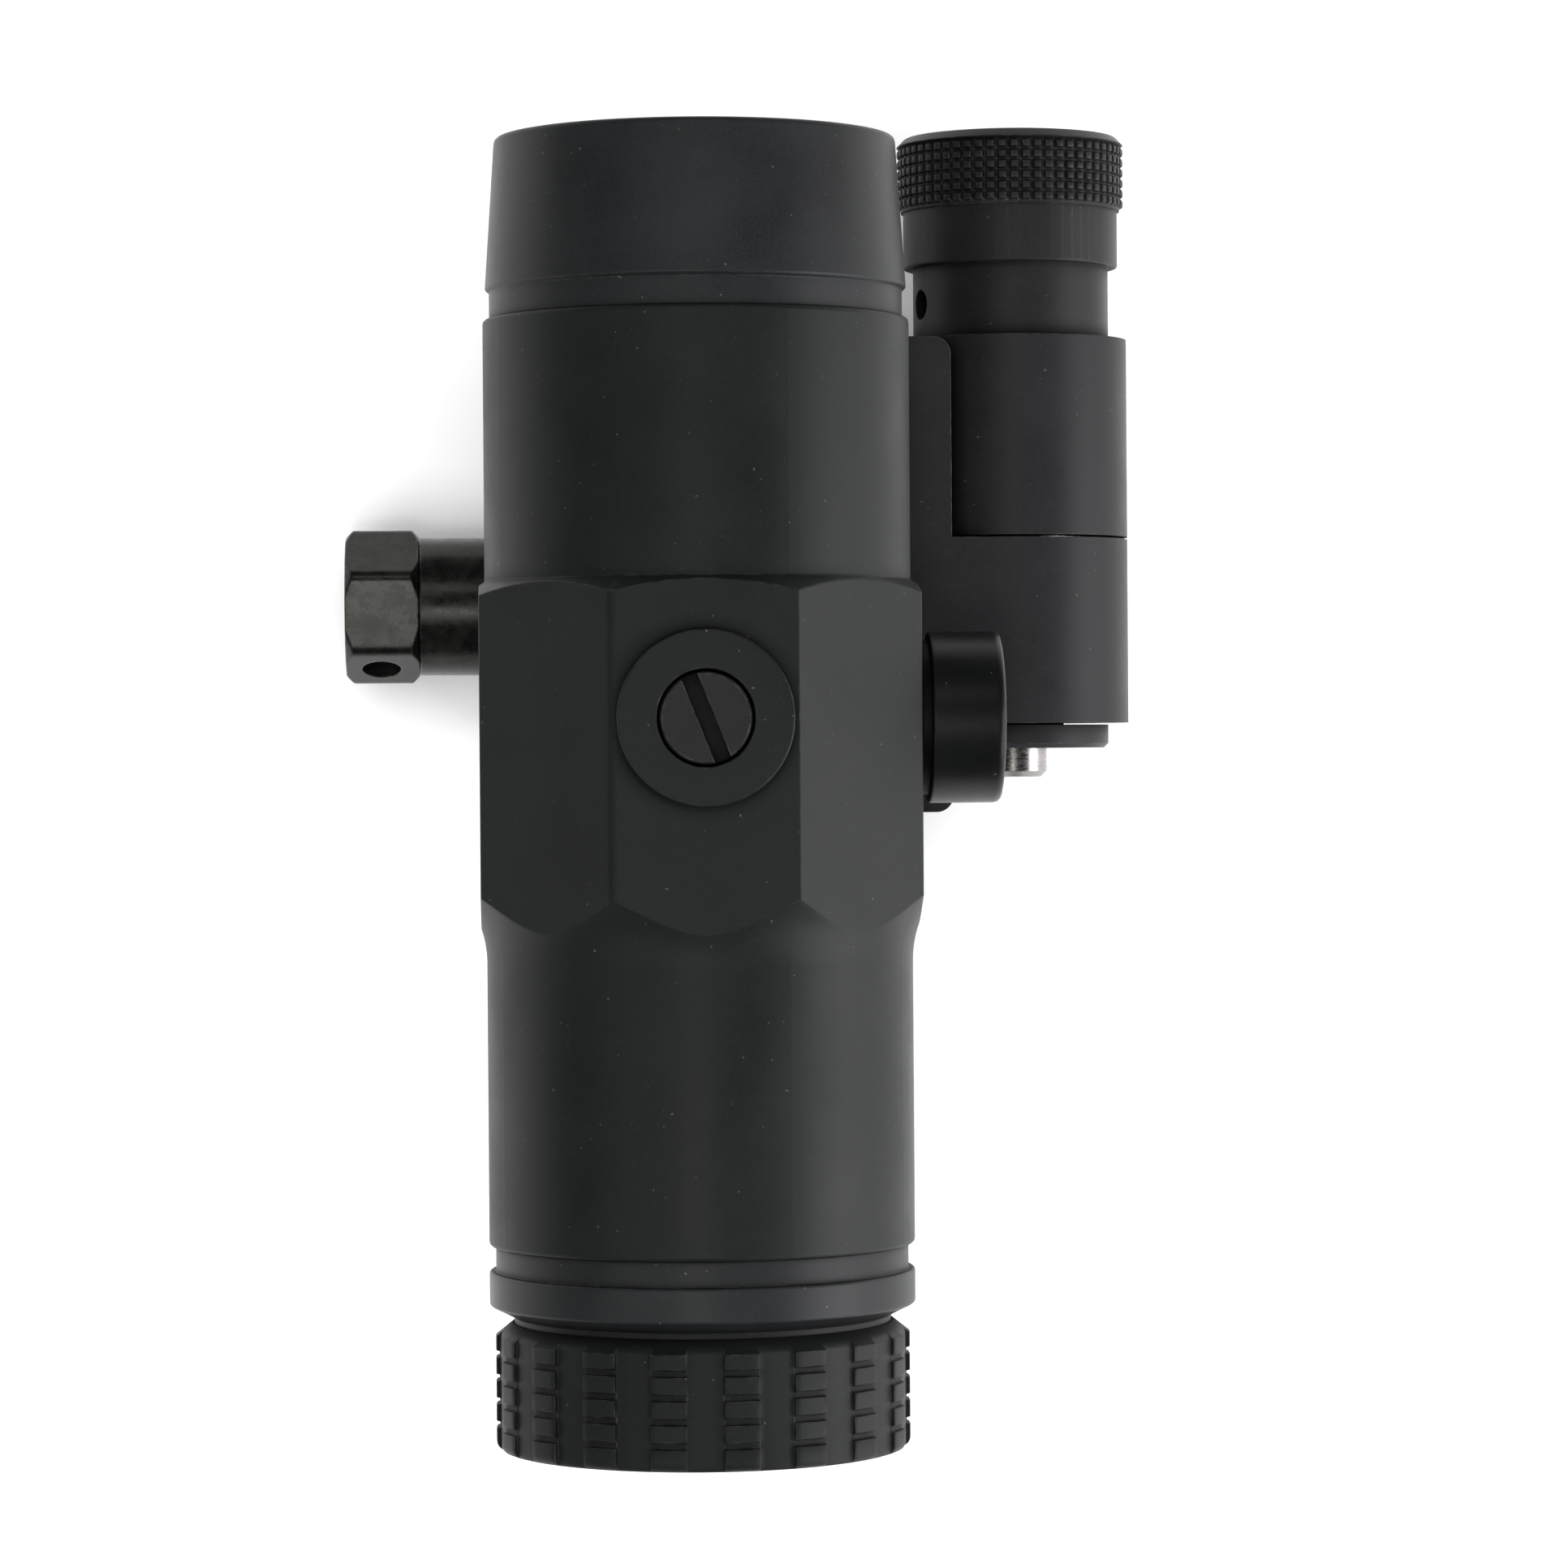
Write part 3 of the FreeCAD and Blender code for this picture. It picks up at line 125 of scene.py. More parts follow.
class Nodes:
    """Short calls for building one material's node tree."""

    def __init__(self, name):
        self.material = bpy.data.materials.new(name)
        self.material.use_nodes = True
        self.tree = self.material.node_tree
        self.shader = self.tree.nodes["Principled BSDF"]
        self.place = self.add("ShaderNodeTexCoord").outputs["Object"]

    def add(self, kind, **inputs):
        node = self.tree.nodes.new(kind)
        for socket, value in inputs.items():
            self.put(node.inputs[socket.replace("_", " ")], value)
        return node

    def put(self, socket, value):
        if isinstance(value, bpy.types.NodeSocket):
            self.tree.links.new(value, socket)
        else:
            socket.default_value = value

    def set(self, socket, value):
        self.put(self.shader.inputs[socket], value)

    def noise(self, size, detail=3.0, rough=0.55, stretch=(1, 1, 1)):
        """Noise whose blobs are about this many metres across."""
        scaled = self.tree.nodes.new("ShaderNodeMapping")
        self.put(scaled.inputs["Vector"], self.place)
        scaled.inputs["Scale"].default_value = [s / size for s in stretch]
        node = self.add("ShaderNodeTexNoise", Scale=1.0, Detail=detail, Roughness=rough)
        self.put(node.inputs["Vector"], scaled.outputs["Vector"])
        return node.outputs["Fac"]

    def ranged(self, value, low, high, start, end):
        node = self.add("ShaderNodeMapRange")
        self.put(node.inputs["Value"], value)
        for socket, number in (("From Min", low), ("From Max", high),
                               ("To Min", start), ("To Max", end)):
            self.put(node.inputs[socket], number)
        return node.outputs["Result"]

    def math(self, kind, a, b=0.0):
        node = self.tree.nodes.new("ShaderNodeMath")
        node.operation = kind
        self.put(node.inputs[0], a)
        self.put(node.inputs[1], b)
        return node.outputs[0]

    def mixed(self, share, a, b):
        node = self.tree.nodes.new("ShaderNodeMix")
        node.data_type = "RGBA"
        self.put(node.inputs[0], share)
        for socket, colour in ((node.inputs[6], a), (node.inputs[7], b)):
            if isinstance(colour, tuple):
                colour = (*colour, 1.0)
            self.put(socket, colour)
        return node.outputs[2]

    def edges(self, radius):
        """A smoothed normal near edges, and a mask that is 1 on the edges themselves."""
        bevel = self.add("ShaderNodeBevel", Radius=radius)
        bevel.samples = 4
        plain = self.tree.nodes.new("ShaderNodeNewGeometry")
        dot = self.tree.nodes.new("ShaderNodeVectorMath")
        dot.operation = "DOT_PRODUCT"
        self.put(dot.inputs[0], bevel.outputs["Normal"])
        self.put(dot.inputs[1], plain.outputs["Normal"])
        return bevel.outputs["Normal"], self.ranged(dot.outputs["Value"], 0.995, 0.93, 0.0, 1.0)

    def crevice_shade(self, reach):
        """A mask for painted shade: 1 on open surfaces, falling towards 0 deep in slots and
        grooves.
        """
        node = self.add("ShaderNodeAmbientOcclusion", Distance=reach)
        node.samples = 4
        return self.ranged(node.outputs["AO"], 0.4, 0.92, 0.0, 1.0)

    def bump(self, height, strength, depth, normal=None):
        node = self.add("ShaderNodeBump", Strength=strength, Distance=depth, Height=height)
        if normal is not None:
            self.put(node.inputs["Normal"], normal)
        return node.outputs["Normal"]


def anodised(name, colour, rough=0.46, grain=0.17 * MM, depth=0.011 * MM, edge=0.16 * MM,
             wear=0.5, worn=(0.10, 0.10, 0.098), dust=0.16):
    """Black anodised aluminium: blasted grain, cloudy sheen, pale rubbed edges, specks of dust, and
    painted shade that darkens the colour in slots and grooves.
    """
    n = Nodes(name)
    cloud = n.noise(9 * MM, 4.0)
    fine = n.noise(grain, 2.0, 0.7)
    normal, edge_mask = n.edges(edge)
    dark = tuple(c * 0.82 for c in colour)
    light = tuple(c * 1.16 for c in colour)
    base = n.mixed(n.ranged(cloud, 0.35, 0.65, 0.0, 1.0), dark, light)
    base = n.mixed(n.ranged(fine, 0.35, 0.75, 0.0, 0.4), base, tuple(c * 2.0 for c in colour))
    rubbed = n.math("MULTIPLY", edge_mask, n.ranged(n.noise(1.1 * MM, 5.0), 0.42, 0.72, 0.0, wear))
    base = n.mixed(rubbed, base, worn)
    specks = n.ranged(n.noise(0.42 * MM, 1.0, 0.4), 0.785, 0.80, 0.0, dust)
    base = n.mixed(specks, base, DUST)
    # painted shade: the colour falls towards 0.15 of itself in slots and grooves found by ambient
    # occlusion; roughness rises there too
    unshaded_share = n.crevice_shade(CREVICE_SHADE_REACH)
    base = n.mixed(unshaded_share, tuple(c * 0.15 for c in colour), base)
    n.set("Base Color", base)
    sheen = n.ranged(n.math("ADD", cloud, n.math("MULTIPLY", fine, 0.5)),
                     0.5, 1.05, rough - 0.06, rough + 0.07)
    n.set("Roughness", n.math("ADD", sheen, n.ranged(unshaded_share, 0.0, 1.0, 0.35, 0.0)))
    n.set("Normal", n.bump(fine, 0.6, depth, normal))
    n.shader.inputs["IOR"].default_value = OXIDE_IOR
    return n.material


def oxide_steel(name, colour, rough=0.34, streak=(0.15, 1, 1), metal=0.75, worn=(0.3, 0.3, 0.29)):
    """Black oxide steel: darker, glossier, mottled, with turning marks and bright pinpoints."""
    n = Nodes(name)
    mottle = n.noise(1.3 * MM, 6.0, 0.65)
    pits = n.noise(0.16 * MM, 3.0, 0.7)
    lines = n.noise(0.35 * MM, 3.0, 0.6, streak)
    normal, edge_mask = n.edges(0.2 * MM)
    base = n.mixed(n.ranged(mottle, 0.35, 0.68, 0.0, 1.0), tuple(c * 0.7 for c in colour),
                   tuple(c * 1.35 for c in colour))
    base = n.mixed(n.ranged(pits, 0.62, 0.78, 0.0, 0.55), base, tuple(c * 3.2 for c in colour))
    base = n.mixed(n.math("MULTIPLY", edge_mask, n.ranged(mottle, 0.4, 0.7, 0.05, 0.5)), base, worn)
    n.set("Base Color", base)
    n.set("Metallic", n.ranged(pits, 0.3, 0.7, metal - 0.1, metal))
    n.set("Roughness", n.ranged(mottle, 0.3, 0.7, rough - 0.06, rough + 0.12))
    rough_skin = n.bump(pits, 0.55, 0.012 * MM, normal)
    n.set("Normal", n.bump(lines, 0.35, 0.008 * MM, rough_skin))
    n.shader.inputs["IOR"].default_value = OXIDE_IOR
    return n.material


def bright_steel(name, colour=(0.72, 0.70, 0.68), rough=0.22):
    """Bare turned steel with fine rings and a few dark marks."""
    n = Nodes(name)
    rings = n.noise(0.12 * MM, 3.0, 0.6, (0.2, 1, 0.2))
    marks = n.noise(1.6 * MM, 5.0, 0.6)
    normal, _ = n.edges(0.12 * MM)
    base = n.mixed(n.ranged(marks, 0.5, 0.72, 0.0, 0.5), colour, tuple(c * 0.55 for c in colour))
    n.set("Base Color", base)
    n.shader.inputs["Metallic"].default_value = 1.0
    n.set("Roughness", n.ranged(rings, 0.3, 0.7, rough - 0.05, rough + 0.14))
    n.set("Normal", n.bump(rings, 0.4, 0.006 * MM, normal))
    return n.material


def rubber(name):
    """Moulded black rubber."""
    n = Nodes(name)
    skin = n.noise(0.2 * MM, 3.0)
    cloud = n.noise(3 * MM, 3.0)
    n.set("Base Color", n.mixed(cloud, (0.012, 0.012, 0.012), (0.024, 0.024, 0.023)))
    n.set("Roughness", n.ranged(skin, 0.3, 0.7, 0.62, 0.8))
    n.set("Normal", n.bump(skin, 0.5, 0.01 * MM))
    return n.material


def turned_brass(name):
    """Brass with lathe rings."""
    n = Nodes(name)
    rings = n.noise(0.1 * MM, 3.0, 0.6, (1, 0.2, 1))
    stain = n.noise(1.5 * MM, 4.0)
    n.set("Base Color", n.mixed(stain, (0.66, 0.47, 0.18), (0.42, 0.29, 0.11)))
    n.shader.inputs["Metallic"].default_value = 1.0
    n.set("Roughness", n.ranged(rings, 0.3, 0.7, 0.22, 0.4))
    n.set("Normal", n.bump(rings, 0.3, 0.006 * MM))
    return n.material


def coated_glass(name, tint, film, rough=0.02):
    """Lens glass under an anti-reflection coating, with a trace of dust."""
    n = Nodes(name)
    dust = n.ranged(n.noise(0.5 * MM, 2.0), 0.72, 0.8, 0.0, 0.35)
    n.set("Base Color", n.mixed(dust, tint, (0.6, 0.6, 0.6)))
    n.set("Roughness", n.ranged(n.noise(4 * MM, 3.0), 0.3, 0.7, rough, rough + 0.03))
    n.shader.inputs["Transmission Weight"].default_value = 0.92
    n.shader.inputs["IOR"].default_value = 1.52
    n.shader.inputs["Coat Weight"].default_value = 1.0
    n.shader.inputs["Coat Roughness"].default_value = 0.02
    n.shader.inputs["Coat Tint"].default_value = (*film, 1.0)
    n.shader.inputs["Specular Tint"].default_value = (*film, 1.0)
    return n.material


def floor_material():
    """A plain pale studio floor with a faint unevenness."""
    n = Nodes("pale_floor")
    n.set("Base Color", n.mixed(n.noise(60 * MM, 2.0), (0.88, 0.88, 0.88), (0.93, 0.93, 0.93)))
    n.shader.inputs["Roughness"].default_value = 0.9
    n.shader.inputs["Specular IOR Level"].default_value = 0.1
    return n.material


LOOK = {
    "tube_anodised": anodised("tube_anodised", (0.0050, 0.0056, 0.0056)),
    "bell_anodised": anodised("bell_anodised", (0.0084, 0.0089, 0.0094), rough=0.40),
    "ring_matte": anodised("ring_matte", (0.0050, 0.0054, 0.0055), rough=0.54, wear=0.5),
    "inner_black": anodised("inner_black", (0.004, 0.004, 0.004), rough=0.7, wear=0.1, dust=0.1),
    "adjuster_screw": anodised("adjuster_screw", (0.0066, 0.0071, 0.0070), rough=0.40, wear=0.7),
    "mount_anodised": anodised("mount_anodised", (0.0088, 0.0090, 0.0098), rough=0.44, wear=0.6),
    "button_anodised": anodised("button_anodised", (0.0076, 0.0078, 0.0082), rough=0.42, wear=0.5),
    "nut_steel": oxide_steel("nut_steel", (0.025, 0.025, 0.0235), rough=0.25, metal=0.85),
    "rod_steel": bright_steel("rod_steel", (0.28, 0.265, 0.26)),
    "black_fastener": oxide_steel("black_fastener", (0.030, 0.030, 0.030), rough=0.4),
    "spring_steel": bright_steel("spring_steel", (0.5, 0.49, 0.47), rough=0.3),
    "brass": turned_brass("brass"),
    "objective_coating": coated_glass("objective_coating", (0.95, 0.98, 0.97), (0.55, 0.85, 0.72)),
    "eye_coating": coated_glass("eye_coating", (0.96, 0.97, 0.98), (0.76, 0.73, 0.92)),
    "seal_rubber": rubber("seal_rubber"),
}
# painted shade: the windage cap gets a darker copy of the tube's black anodising, standing in for
# the shade on its sides, though both share a slot
SHADED_LOOK = {"windage_turret": anodised("windage_shaded_anodised", (0.0026, 0.0028, 0.0028), rough=0.36)}


def look_of(name):
    """The material of a node: its painted-shade copy if it has one, or its slot's."""
    return SHADED_LOOK.get(name, LOOK[SLOTS[name]])


def dress_frame():
    """Gives every CAD node the material of its slot, or its painted-shade copy."""
    for name, node in NODES.items():
        look = look_of(name)
        for index in range(max(1, len(node.material_slots))):
            if node.material_slots:
                node.material_slots[index].material = look
            else:
                node.data.materials.append(look)


# ---- mesh making --------------------------------------------------------------------------

SLIP = 0.03 * MM            # clearance between a spigot and its bore
DRILL_PAST = 1.0 * MM       # how far a drill runs past the surface
CORNER = 0.15 * MM          # how far an ordinary machined corner is broken
LEAST_CORNER = 0.006 * MM
CORNER_STEPS = 3
TURNING = 192               # points round an ordinary turned piece
SHARP_EDGE = math.radians(40)


def eased(outline, radius=CORNER):
    """An outline of (radius, station[, own corner radius]) with a short arc at every corner.

    A corner radius of 0 keeps the point as it is. The number of points in the result depends only
    on which corners are 0, so neighbouring columns of a mesh match.
    """
    out = []
    count = len(outline)
    for i, here in enumerate(outline):
        corner = Vector(here[:2])
        size = here[2] if len(here) > 2 else radius
        if size <= 0:
            out.append(corner)
            continue
        to_before = Vector(outline[i - 1][:2]) - corner
        to_after = Vector(outline[(i + 1) % count][:2]) - corner
        turn = math.pi - to_before.angle(to_after)
        room = min(to_before.length, to_after.length) * 0.45
        cut = min(max(size * math.tan(turn / 2), LEAST_CORNER), room)
        first = corner + to_before.normalized() * cut
        last = corner + to_after.normalized() * cut
        for step in range(CORNER_STEPS + 1):
            share = step / CORNER_STEPS
            out.append(first.lerp(corner, share).lerp(corner.lerp(last, share), share))
    return out


def to_row(centre, turn, radius, station, angle):
    """A point given by radius, station and angle about an axis, in the row's frame."""
    local = Vector((radius * math.sin(angle), station, radius * math.cos(angle)))
    return centre + turn @ local


def skin(columns, angles, centre, turn=ALONG_Y, closed=True):
    """A mesh from one outline per angle.

    closed joins each outline's last point to its first, for a body with a bore; otherwise the
    first and last points lie on the axis.
    """
    bm = bmesh.new()
    count = len(angles)
    grid = []
    for row in zip(*columns):
        if max(point[0] for point in row) < LEAST_CORNER:
            grid.append([bm.verts.new(to_row(centre, turn, 0, row[0][1], 0))] * count)
        else:
            grid.append([bm.verts.new(to_row(centre, turn, *point, angle))
                         for point, angle in zip(row, angles)])
    pairs = list(zip(grid, grid[1:]))
    if closed:
        pairs.append((grid[-1], grid[0]))
    for lower, upper in pairs:
        for i in range(count):
            j = (i + 1) % count
            corners = list(dict.fromkeys((lower[i], lower[j], upper[j], upper[i])))
            if len(corners) > 2:
                bm.faces.new(corners)
    return bm


def lathe(outline, centre, turn=ALONG_Y, radius=CORNER, closed=True):
    """A turned body from its outline."""
    angles = [2 * math.pi * i / TURNING for i in range(TURNING)]
    column = [tuple(point) for point in eased(outline, radius)]
    return skin([column] * TURNING, angles, centre, turn, closed)


def drilled(piece, holes, sides=72):
    """Cuts round holes, each (point on its axis, direction, start, end, radius)."""
    bm = bmesh.new()
    for point, way, start, end, radius in holes:
        at = Matrix.Translation(point + way * ((start + end) / 2))
        bmesh.ops.create_cone(bm, cap_ends=True, segments=sides, radius1=radius, radius2=radius,
                              depth=end - start,
                              matrix=at @ way.to_track_quat("Z", "Y").to_matrix().to_4x4())
    mesh = bpy.data.meshes.new("drills")
    bm.to_mesh(mesh)
    bm.free()
    drills = bpy.data.objects.new("drills", mesh)
    bpy.context.scene.collection.objects.link(drills)
    cut = piece.modifiers.new("holes", "BOOLEAN")
    cut.operation = "DIFFERENCE"
    cut.solver = "EXACT"
    cut.object = drills
    final = piece.evaluated_get(bpy.context.evaluated_depsgraph_get())
    piece_mesh = bpy.data.meshes.new_from_object(final)
    piece.modifiers.clear()
    piece.data = piece_mesh
    bpy.data.objects.remove(drills)
    bpy.data.meshes.remove(mesh)


def stand_in(node, bm, holes=()):
    """Makes a mesh the piece that stands for a CAD node, on its body and in its material."""
    bmesh.ops.recalc_face_normals(bm, faces=bm.faces)
    mesh = bpy.data.meshes.new(node)
    bm.to_mesh(mesh)
    bm.free()
    piece = bpy.data.objects.new(node + "_shape", mesh)
    bpy.context.scene.collection.objects.link(piece)
    if holes:
        drilled(piece, holes)
    piece.data.shade_smooth()
    piece.data.set_sharp_from_angle(angle=SHARP_EDGE)
    even = piece.modifiers.new("even_normals", "WEIGHTED_NORMAL")
    even.weight = 75
    even.keep_sharp = True
    piece.data.materials.clear()
    piece.data.materials.append(look_of(node))
    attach(piece, BODIES[node])
    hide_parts(node)
    return piece


# ---- ridged sections ----------------------------------------------------------------------

SIDE_STEPS = 22             # points across each flat side
RIDGE_STEPS = 6             # steps round each ridge


def ridged(sides, apothem, ridges, first=0.0):
    """Angles round a prism with rounded ridges, and its radius at each.

    first is the angle of side 0's middle, and ridges gives the ridge radius after each side.
    """
    half = math.pi / sides
    out = []

    def covered(rho):
        return half - math.atan((apothem - rho) * math.tan(half) / apothem)

    for side in range(sides):
        middle = first + 2 * half * side
        start = -half + covered(ridges[side - 1])
        end = half - covered(ridges[side])
        for step in range(SIDE_STEPS + 1):
            off = start + (end - start) * step / SIDE_STEPS
            out.append((middle + off, apothem / math.cos(off)))
        rho = ridges[side]
        centre = (apothem - rho) / math.cos(half)
        for step in range(1, RIDGE_STEPS):
            off = covered(rho) * (2 * step / RIDGE_STEPS - 1)
            reach = centre * math.cos(off) + math.sqrt(rho ** 2 - (centre * math.sin(off)) ** 2)
            out.append((middle + half + off, reach))
    return out


# ---- tube, bell and collar ----------------------------------------------------------------

BORE_R = 15.5 * MM
TUBE_EDGE = 0.4 * MM
NOSE_START = 1.0 * MM       # station where the eight-sided middle rises from the tube
NOSE_SLOPE = 1.3 / 1.95     # how far it takes to rise by one
SWEEP_END = -30.7 * MM      # station where it has sunk back into the tube
SWEEP_R = 9.0 * MM
SWEEP_STEPS = 9
SHARP, PLAIN, SOFT = 0.15 * MM, 0.3 * MM, 1.2 * MM
RIDGES = [SHARP, PLAIN, PLAIN, PLAIN, PLAIN, PLAIN, PLAIN, SOFT]
SHANK_R = 5.6 * MM
SHANK_IN = 13.2 * MM
ARM_SCREW_R = 1.5 * MM
ARM_SCREW_STATIONS = (-4.5 * MM, -14.5 * MM)


def tube_column(reach):
    """The tube's outline where its eight-sided middle stands this far from the axis."""
    front, back = TUBE_HIGH.y, TUBE_LOW.y
    crest = NOSE_START - (reach - TUBE_R) * NOSE_SLOPE
    hollow = TUBE_R + SWEEP_R
    fall = math.sqrt(SWEEP_R ** 2 - (hollow - reach) ** 2)
    column = [(BORE_R, back, TUBE_EDGE / 2), (TUBE_R, back, TUBE_EDGE)]
    for step in range(SWEEP_STEPS):
        along = fall * step / SWEEP_STEPS
        column.append((hollow - math.sqrt(SWEEP_R ** 2 - along ** 2), SWEEP_END + along, 0))
    column += [(reach, SWEEP_END + fall, SHARP), (reach, crest, SHARP),
               (TUBE_R, NOSE_START, SHARP), (TUBE_R, front, TUBE_EDGE),
               (BORE_R, front, TUBE_EDGE / 2)]
    return [tuple(point) for point in eased(column)]


def main_tube():
    section = ridged(8, FLAT, RIDGES)
    bm = skin([tube_column(reach) for _, reach in section], [a for a, _ in section], AXIS)
    up, right, down = Vector((0, 0, 1)), Vector((1, 0, 0)), Vector((0, 0, -1))
    end = FLAT + DRILL_PAST
    holes = [(TOP_AXIS, up, SHANK_IN, end, SHANK_R + SLIP),
             (SIDE_AXIS, right, SHANK_IN, end, SHANK_R + SLIP)]
    for station in ARM_SCREW_STATIONS:
        holes.append((AXIS + Vector((0, station, 0)), down, SHANK_IN, end, ARM_SCREW_R))
    stand_in("main_tube", bm, holes)


HOOD_R = 14.0 * MM
SEAT_R = 12.6 * MM
SEAL_WIRE_R = 0.55 * MM
OBJECTIVE_SEAL = 19.0 * MM
OBJECTIVE_SEAT = 23.6 * MM
BELL_TIP_R = 16.7 * MM
BELL_GROOVE = 2.55 * MM     # length of the groove between tube and bell, with its slope
BELL_SLOPE = 0.25 * MM
HOOD_DEPTH = 4.15 * MM      # the hood's mouth flares over this length
HOOD_FLARE = 1.3 * MM
SEAL_ROOM = 0.06 * MM


def objective_bell():
    tip, back = BELL_HIGH.y, TUBE_HIGH.y + BELL_GROOVE
    shank_r = BORE_R - SLIP
    seal_r = shank_r - 2 * SEAL_WIRE_R
    half = SEAL_WIRE_R + SEAL_ROOM
    stand_in("objective_bell", lathe([
        (SEAT_R, BELL_LOW.y), (SEAT_R, OBJECTIVE_SEAT), (HOOD_R, OBJECTIVE_SEAT),
        (HOOD_R, tip - HOOD_DEPTH), (HOOD_R + HOOD_FLARE, tip, 0.2 * MM),
        (BELL_TIP_R, tip, 0.5 * MM), (BELL_R, back, 0.25 * MM),
        (GROOVE_R, back - BELL_SLOPE, 0.1 * MM), (GROOVE_R, TUBE_HIGH.y, 0.05 * MM),
        (shank_r, TUBE_HIGH.y), (shank_r, OBJECTIVE_SEAL + half),
        (seal_r, OBJECTIVE_SEAL + half), (seal_r, OBJECTIVE_SEAL - half),
        (shank_r, OBJECTIVE_SEAL - half), (shank_r, BELL_LOW.y),
    ], AXIS))


CELL_R = 14.06 * MM
NECK_R = 15.7 * MM
KEY_STATION = -58.0 * MM
KEY_R = 0.83 * MM
COLLAR_GROOVE = 2.1 * MM    # length of the groove between tube and collar
COLLAR_SHOULDER = 4.9 * MM  # from the tube to the start of the collar's taper
COLLAR_TAPER = 1.0 * MM
KEY_HOLE_START = 2 * MM     # the key's hole starts this far inside the cell's bore


def rear_collar():
    groove, shoulder = TUBE_LOW.y - COLLAR_GROOVE, TUBE_LOW.y - COLLAR_SHOULDER
    bm = lathe([
        (CELL_R, COLLAR_HIGH.y), (CELL_R, COLLAR_LOW.y), (NECK_R, COLLAR_LOW.y, 0.3 * MM),
        (NECK_R, shoulder - COLLAR_TAPER, 0.1 * MM), (TUBE_R, shoulder, 0.3 * MM),
        (TUBE_R, groove, 0.3 * MM), (GROOVE_R, groove, 0.1 * MM),
        (GROOVE_R, TUBE_LOW.y, 0.05 * MM), (BORE_R - SLIP, TUBE_LOW.y),
        (BORE_R - SLIP, COLLAR_HIGH.y),
    ], AXIS)
    key = AXIS + Vector((0, KEY_STATION, 0))
    stand_in("rear_collar", bm, [(key, Vector((0, 0, -1)), CELL_R - KEY_HOLE_START,
                                  TUBE_R + DRILL_PAST, KEY_R)])


# ---- focus ring ---------------------------------------------------------------------------

PADS = 18
PAD_CLOCK = math.radians(8.75)
# one pitch of the ring's section: degrees from a pad's middle, and how much of a pad stands there
PAD_SIDE = ((0, 1), (1.5, 1), (3.0, 1), (4.5, 1), (4.88, 0.86), (5.0, 0.12), (5.2, 0), (6.6, 0),
            (8.3, 0))
FLUTE_R = 16.9 * MM
FLUTE_EASE = 0.38 * MM
PAD_GROOVE = 0.3 * MM
# a pad groove's section: distance from its middle and how deep it is there
GROOVE_SIDE = ((-0.36, 0), (-0.30, 0.12), (-0.25, 0.85), (-0.20, 1), (0.0, 1), (0.20, 1),
               (0.25, 0.85), (0.30, 0.12), (0.36, 0))
GROOVE_FIRST = -63.2 * MM
GROOVE_PITCH = 1.95 * MM
GROOVES = 4
RING_BORE_R = 15.76 * MM
SNAP_ROOM_R = 16.03 * MM
SNAP_ROOM = (-67.1 * MM, -66.6 * MM)
RING_LIP = -69.7 * MM
RING_LIP_R = 13.6 * MM
RING_ROUND = 0.8 * MM
RING_ROUND_STEPS = 7
RING_CHAMFER = 1.1 * MM
RING_RIM = 0.1 * MM         # width of the flat rim that the chamfer leaves
CHAMFER_SHARES = (0, 0.06, 0.2, 0.4, 0.6, 0.8, 0.96, 1)


def soft_least(a, b, ease):
    """The smaller of two numbers, blended where they are within ease of each other."""
    share = max(ease - abs(a - b), 0.0) / ease
    return min(a, b) - share * share * ease / 4


def focus_ring():
    top = RING_R
    inside = [(RING_BORE_R, RING_HIGH.y), (RING_BORE_R, SNAP_ROOM[1]), (SNAP_ROOM_R, SNAP_ROOM[1]),
              (SNAP_ROOM_R, SNAP_ROOM[0]), (RING_BORE_R, SNAP_ROOM[0]), (RING_BORE_R, RING_LIP),
              (RING_LIP_R, RING_LIP), (RING_LIP_R, RING_LOW.y), (top - RING_ROUND, RING_LOW.y)]
    outside, smooth = [], []
    for step in range(1, RING_ROUND_STEPS + 1):
        angle = QUARTER * step / RING_ROUND_STEPS
        outside.append((top - RING_ROUND * (1 - math.sin(angle)),
                        RING_LOW.y + RING_ROUND * (1 - math.cos(angle))))
    smooth += outside
    for groove in reversed(range(GROOVES)):
        middle = GROOVE_FIRST - GROOVE_PITCH * groove
        outside += [(top - PAD_GROOVE * deep, middle + off * MM) for off, deep in GROOVE_SIDE]
        smooth += [(top, middle + off * MM) for off, _ in GROOVE_SIDE]
    chamfer_end = RING_HIGH.y - RING_CHAMFER
    chamfer = [(top - (top - RING_BORE_R - RING_RIM) * share,
                chamfer_end + (RING_HIGH.y - chamfer_end) * share)
               for share in CHAMFER_SHARES]
    outside += chamfer
    smooth += chamfer
    flute = [(soft_least(radius, FLUTE_R, FLUTE_EASE), station) for radius, station in smooth]
    section = sorted({(side * off, stand) for off, stand in PAD_SIDE for side in (-1, 1)})
    columns, angles = [], []
    for pad in range(PADS):
        middle = PAD_CLOCK + 2 * math.pi * pad / PADS
        for off, stand in section:
            angles.append(middle + math.radians(off))
            columns.append(inside + [(low[0] + (high[0] - low[0]) * stand, high[1])
                                     for low, high in zip(flute, outside)])
    stand_in("focus_ring", skin(columns, angles, AXIS))


# ---- push button --------------------------------------------------------------------------

TEETH = 60
TOOTH_ROWS = 6
TOOTH_DEEP = 0.34 * MM
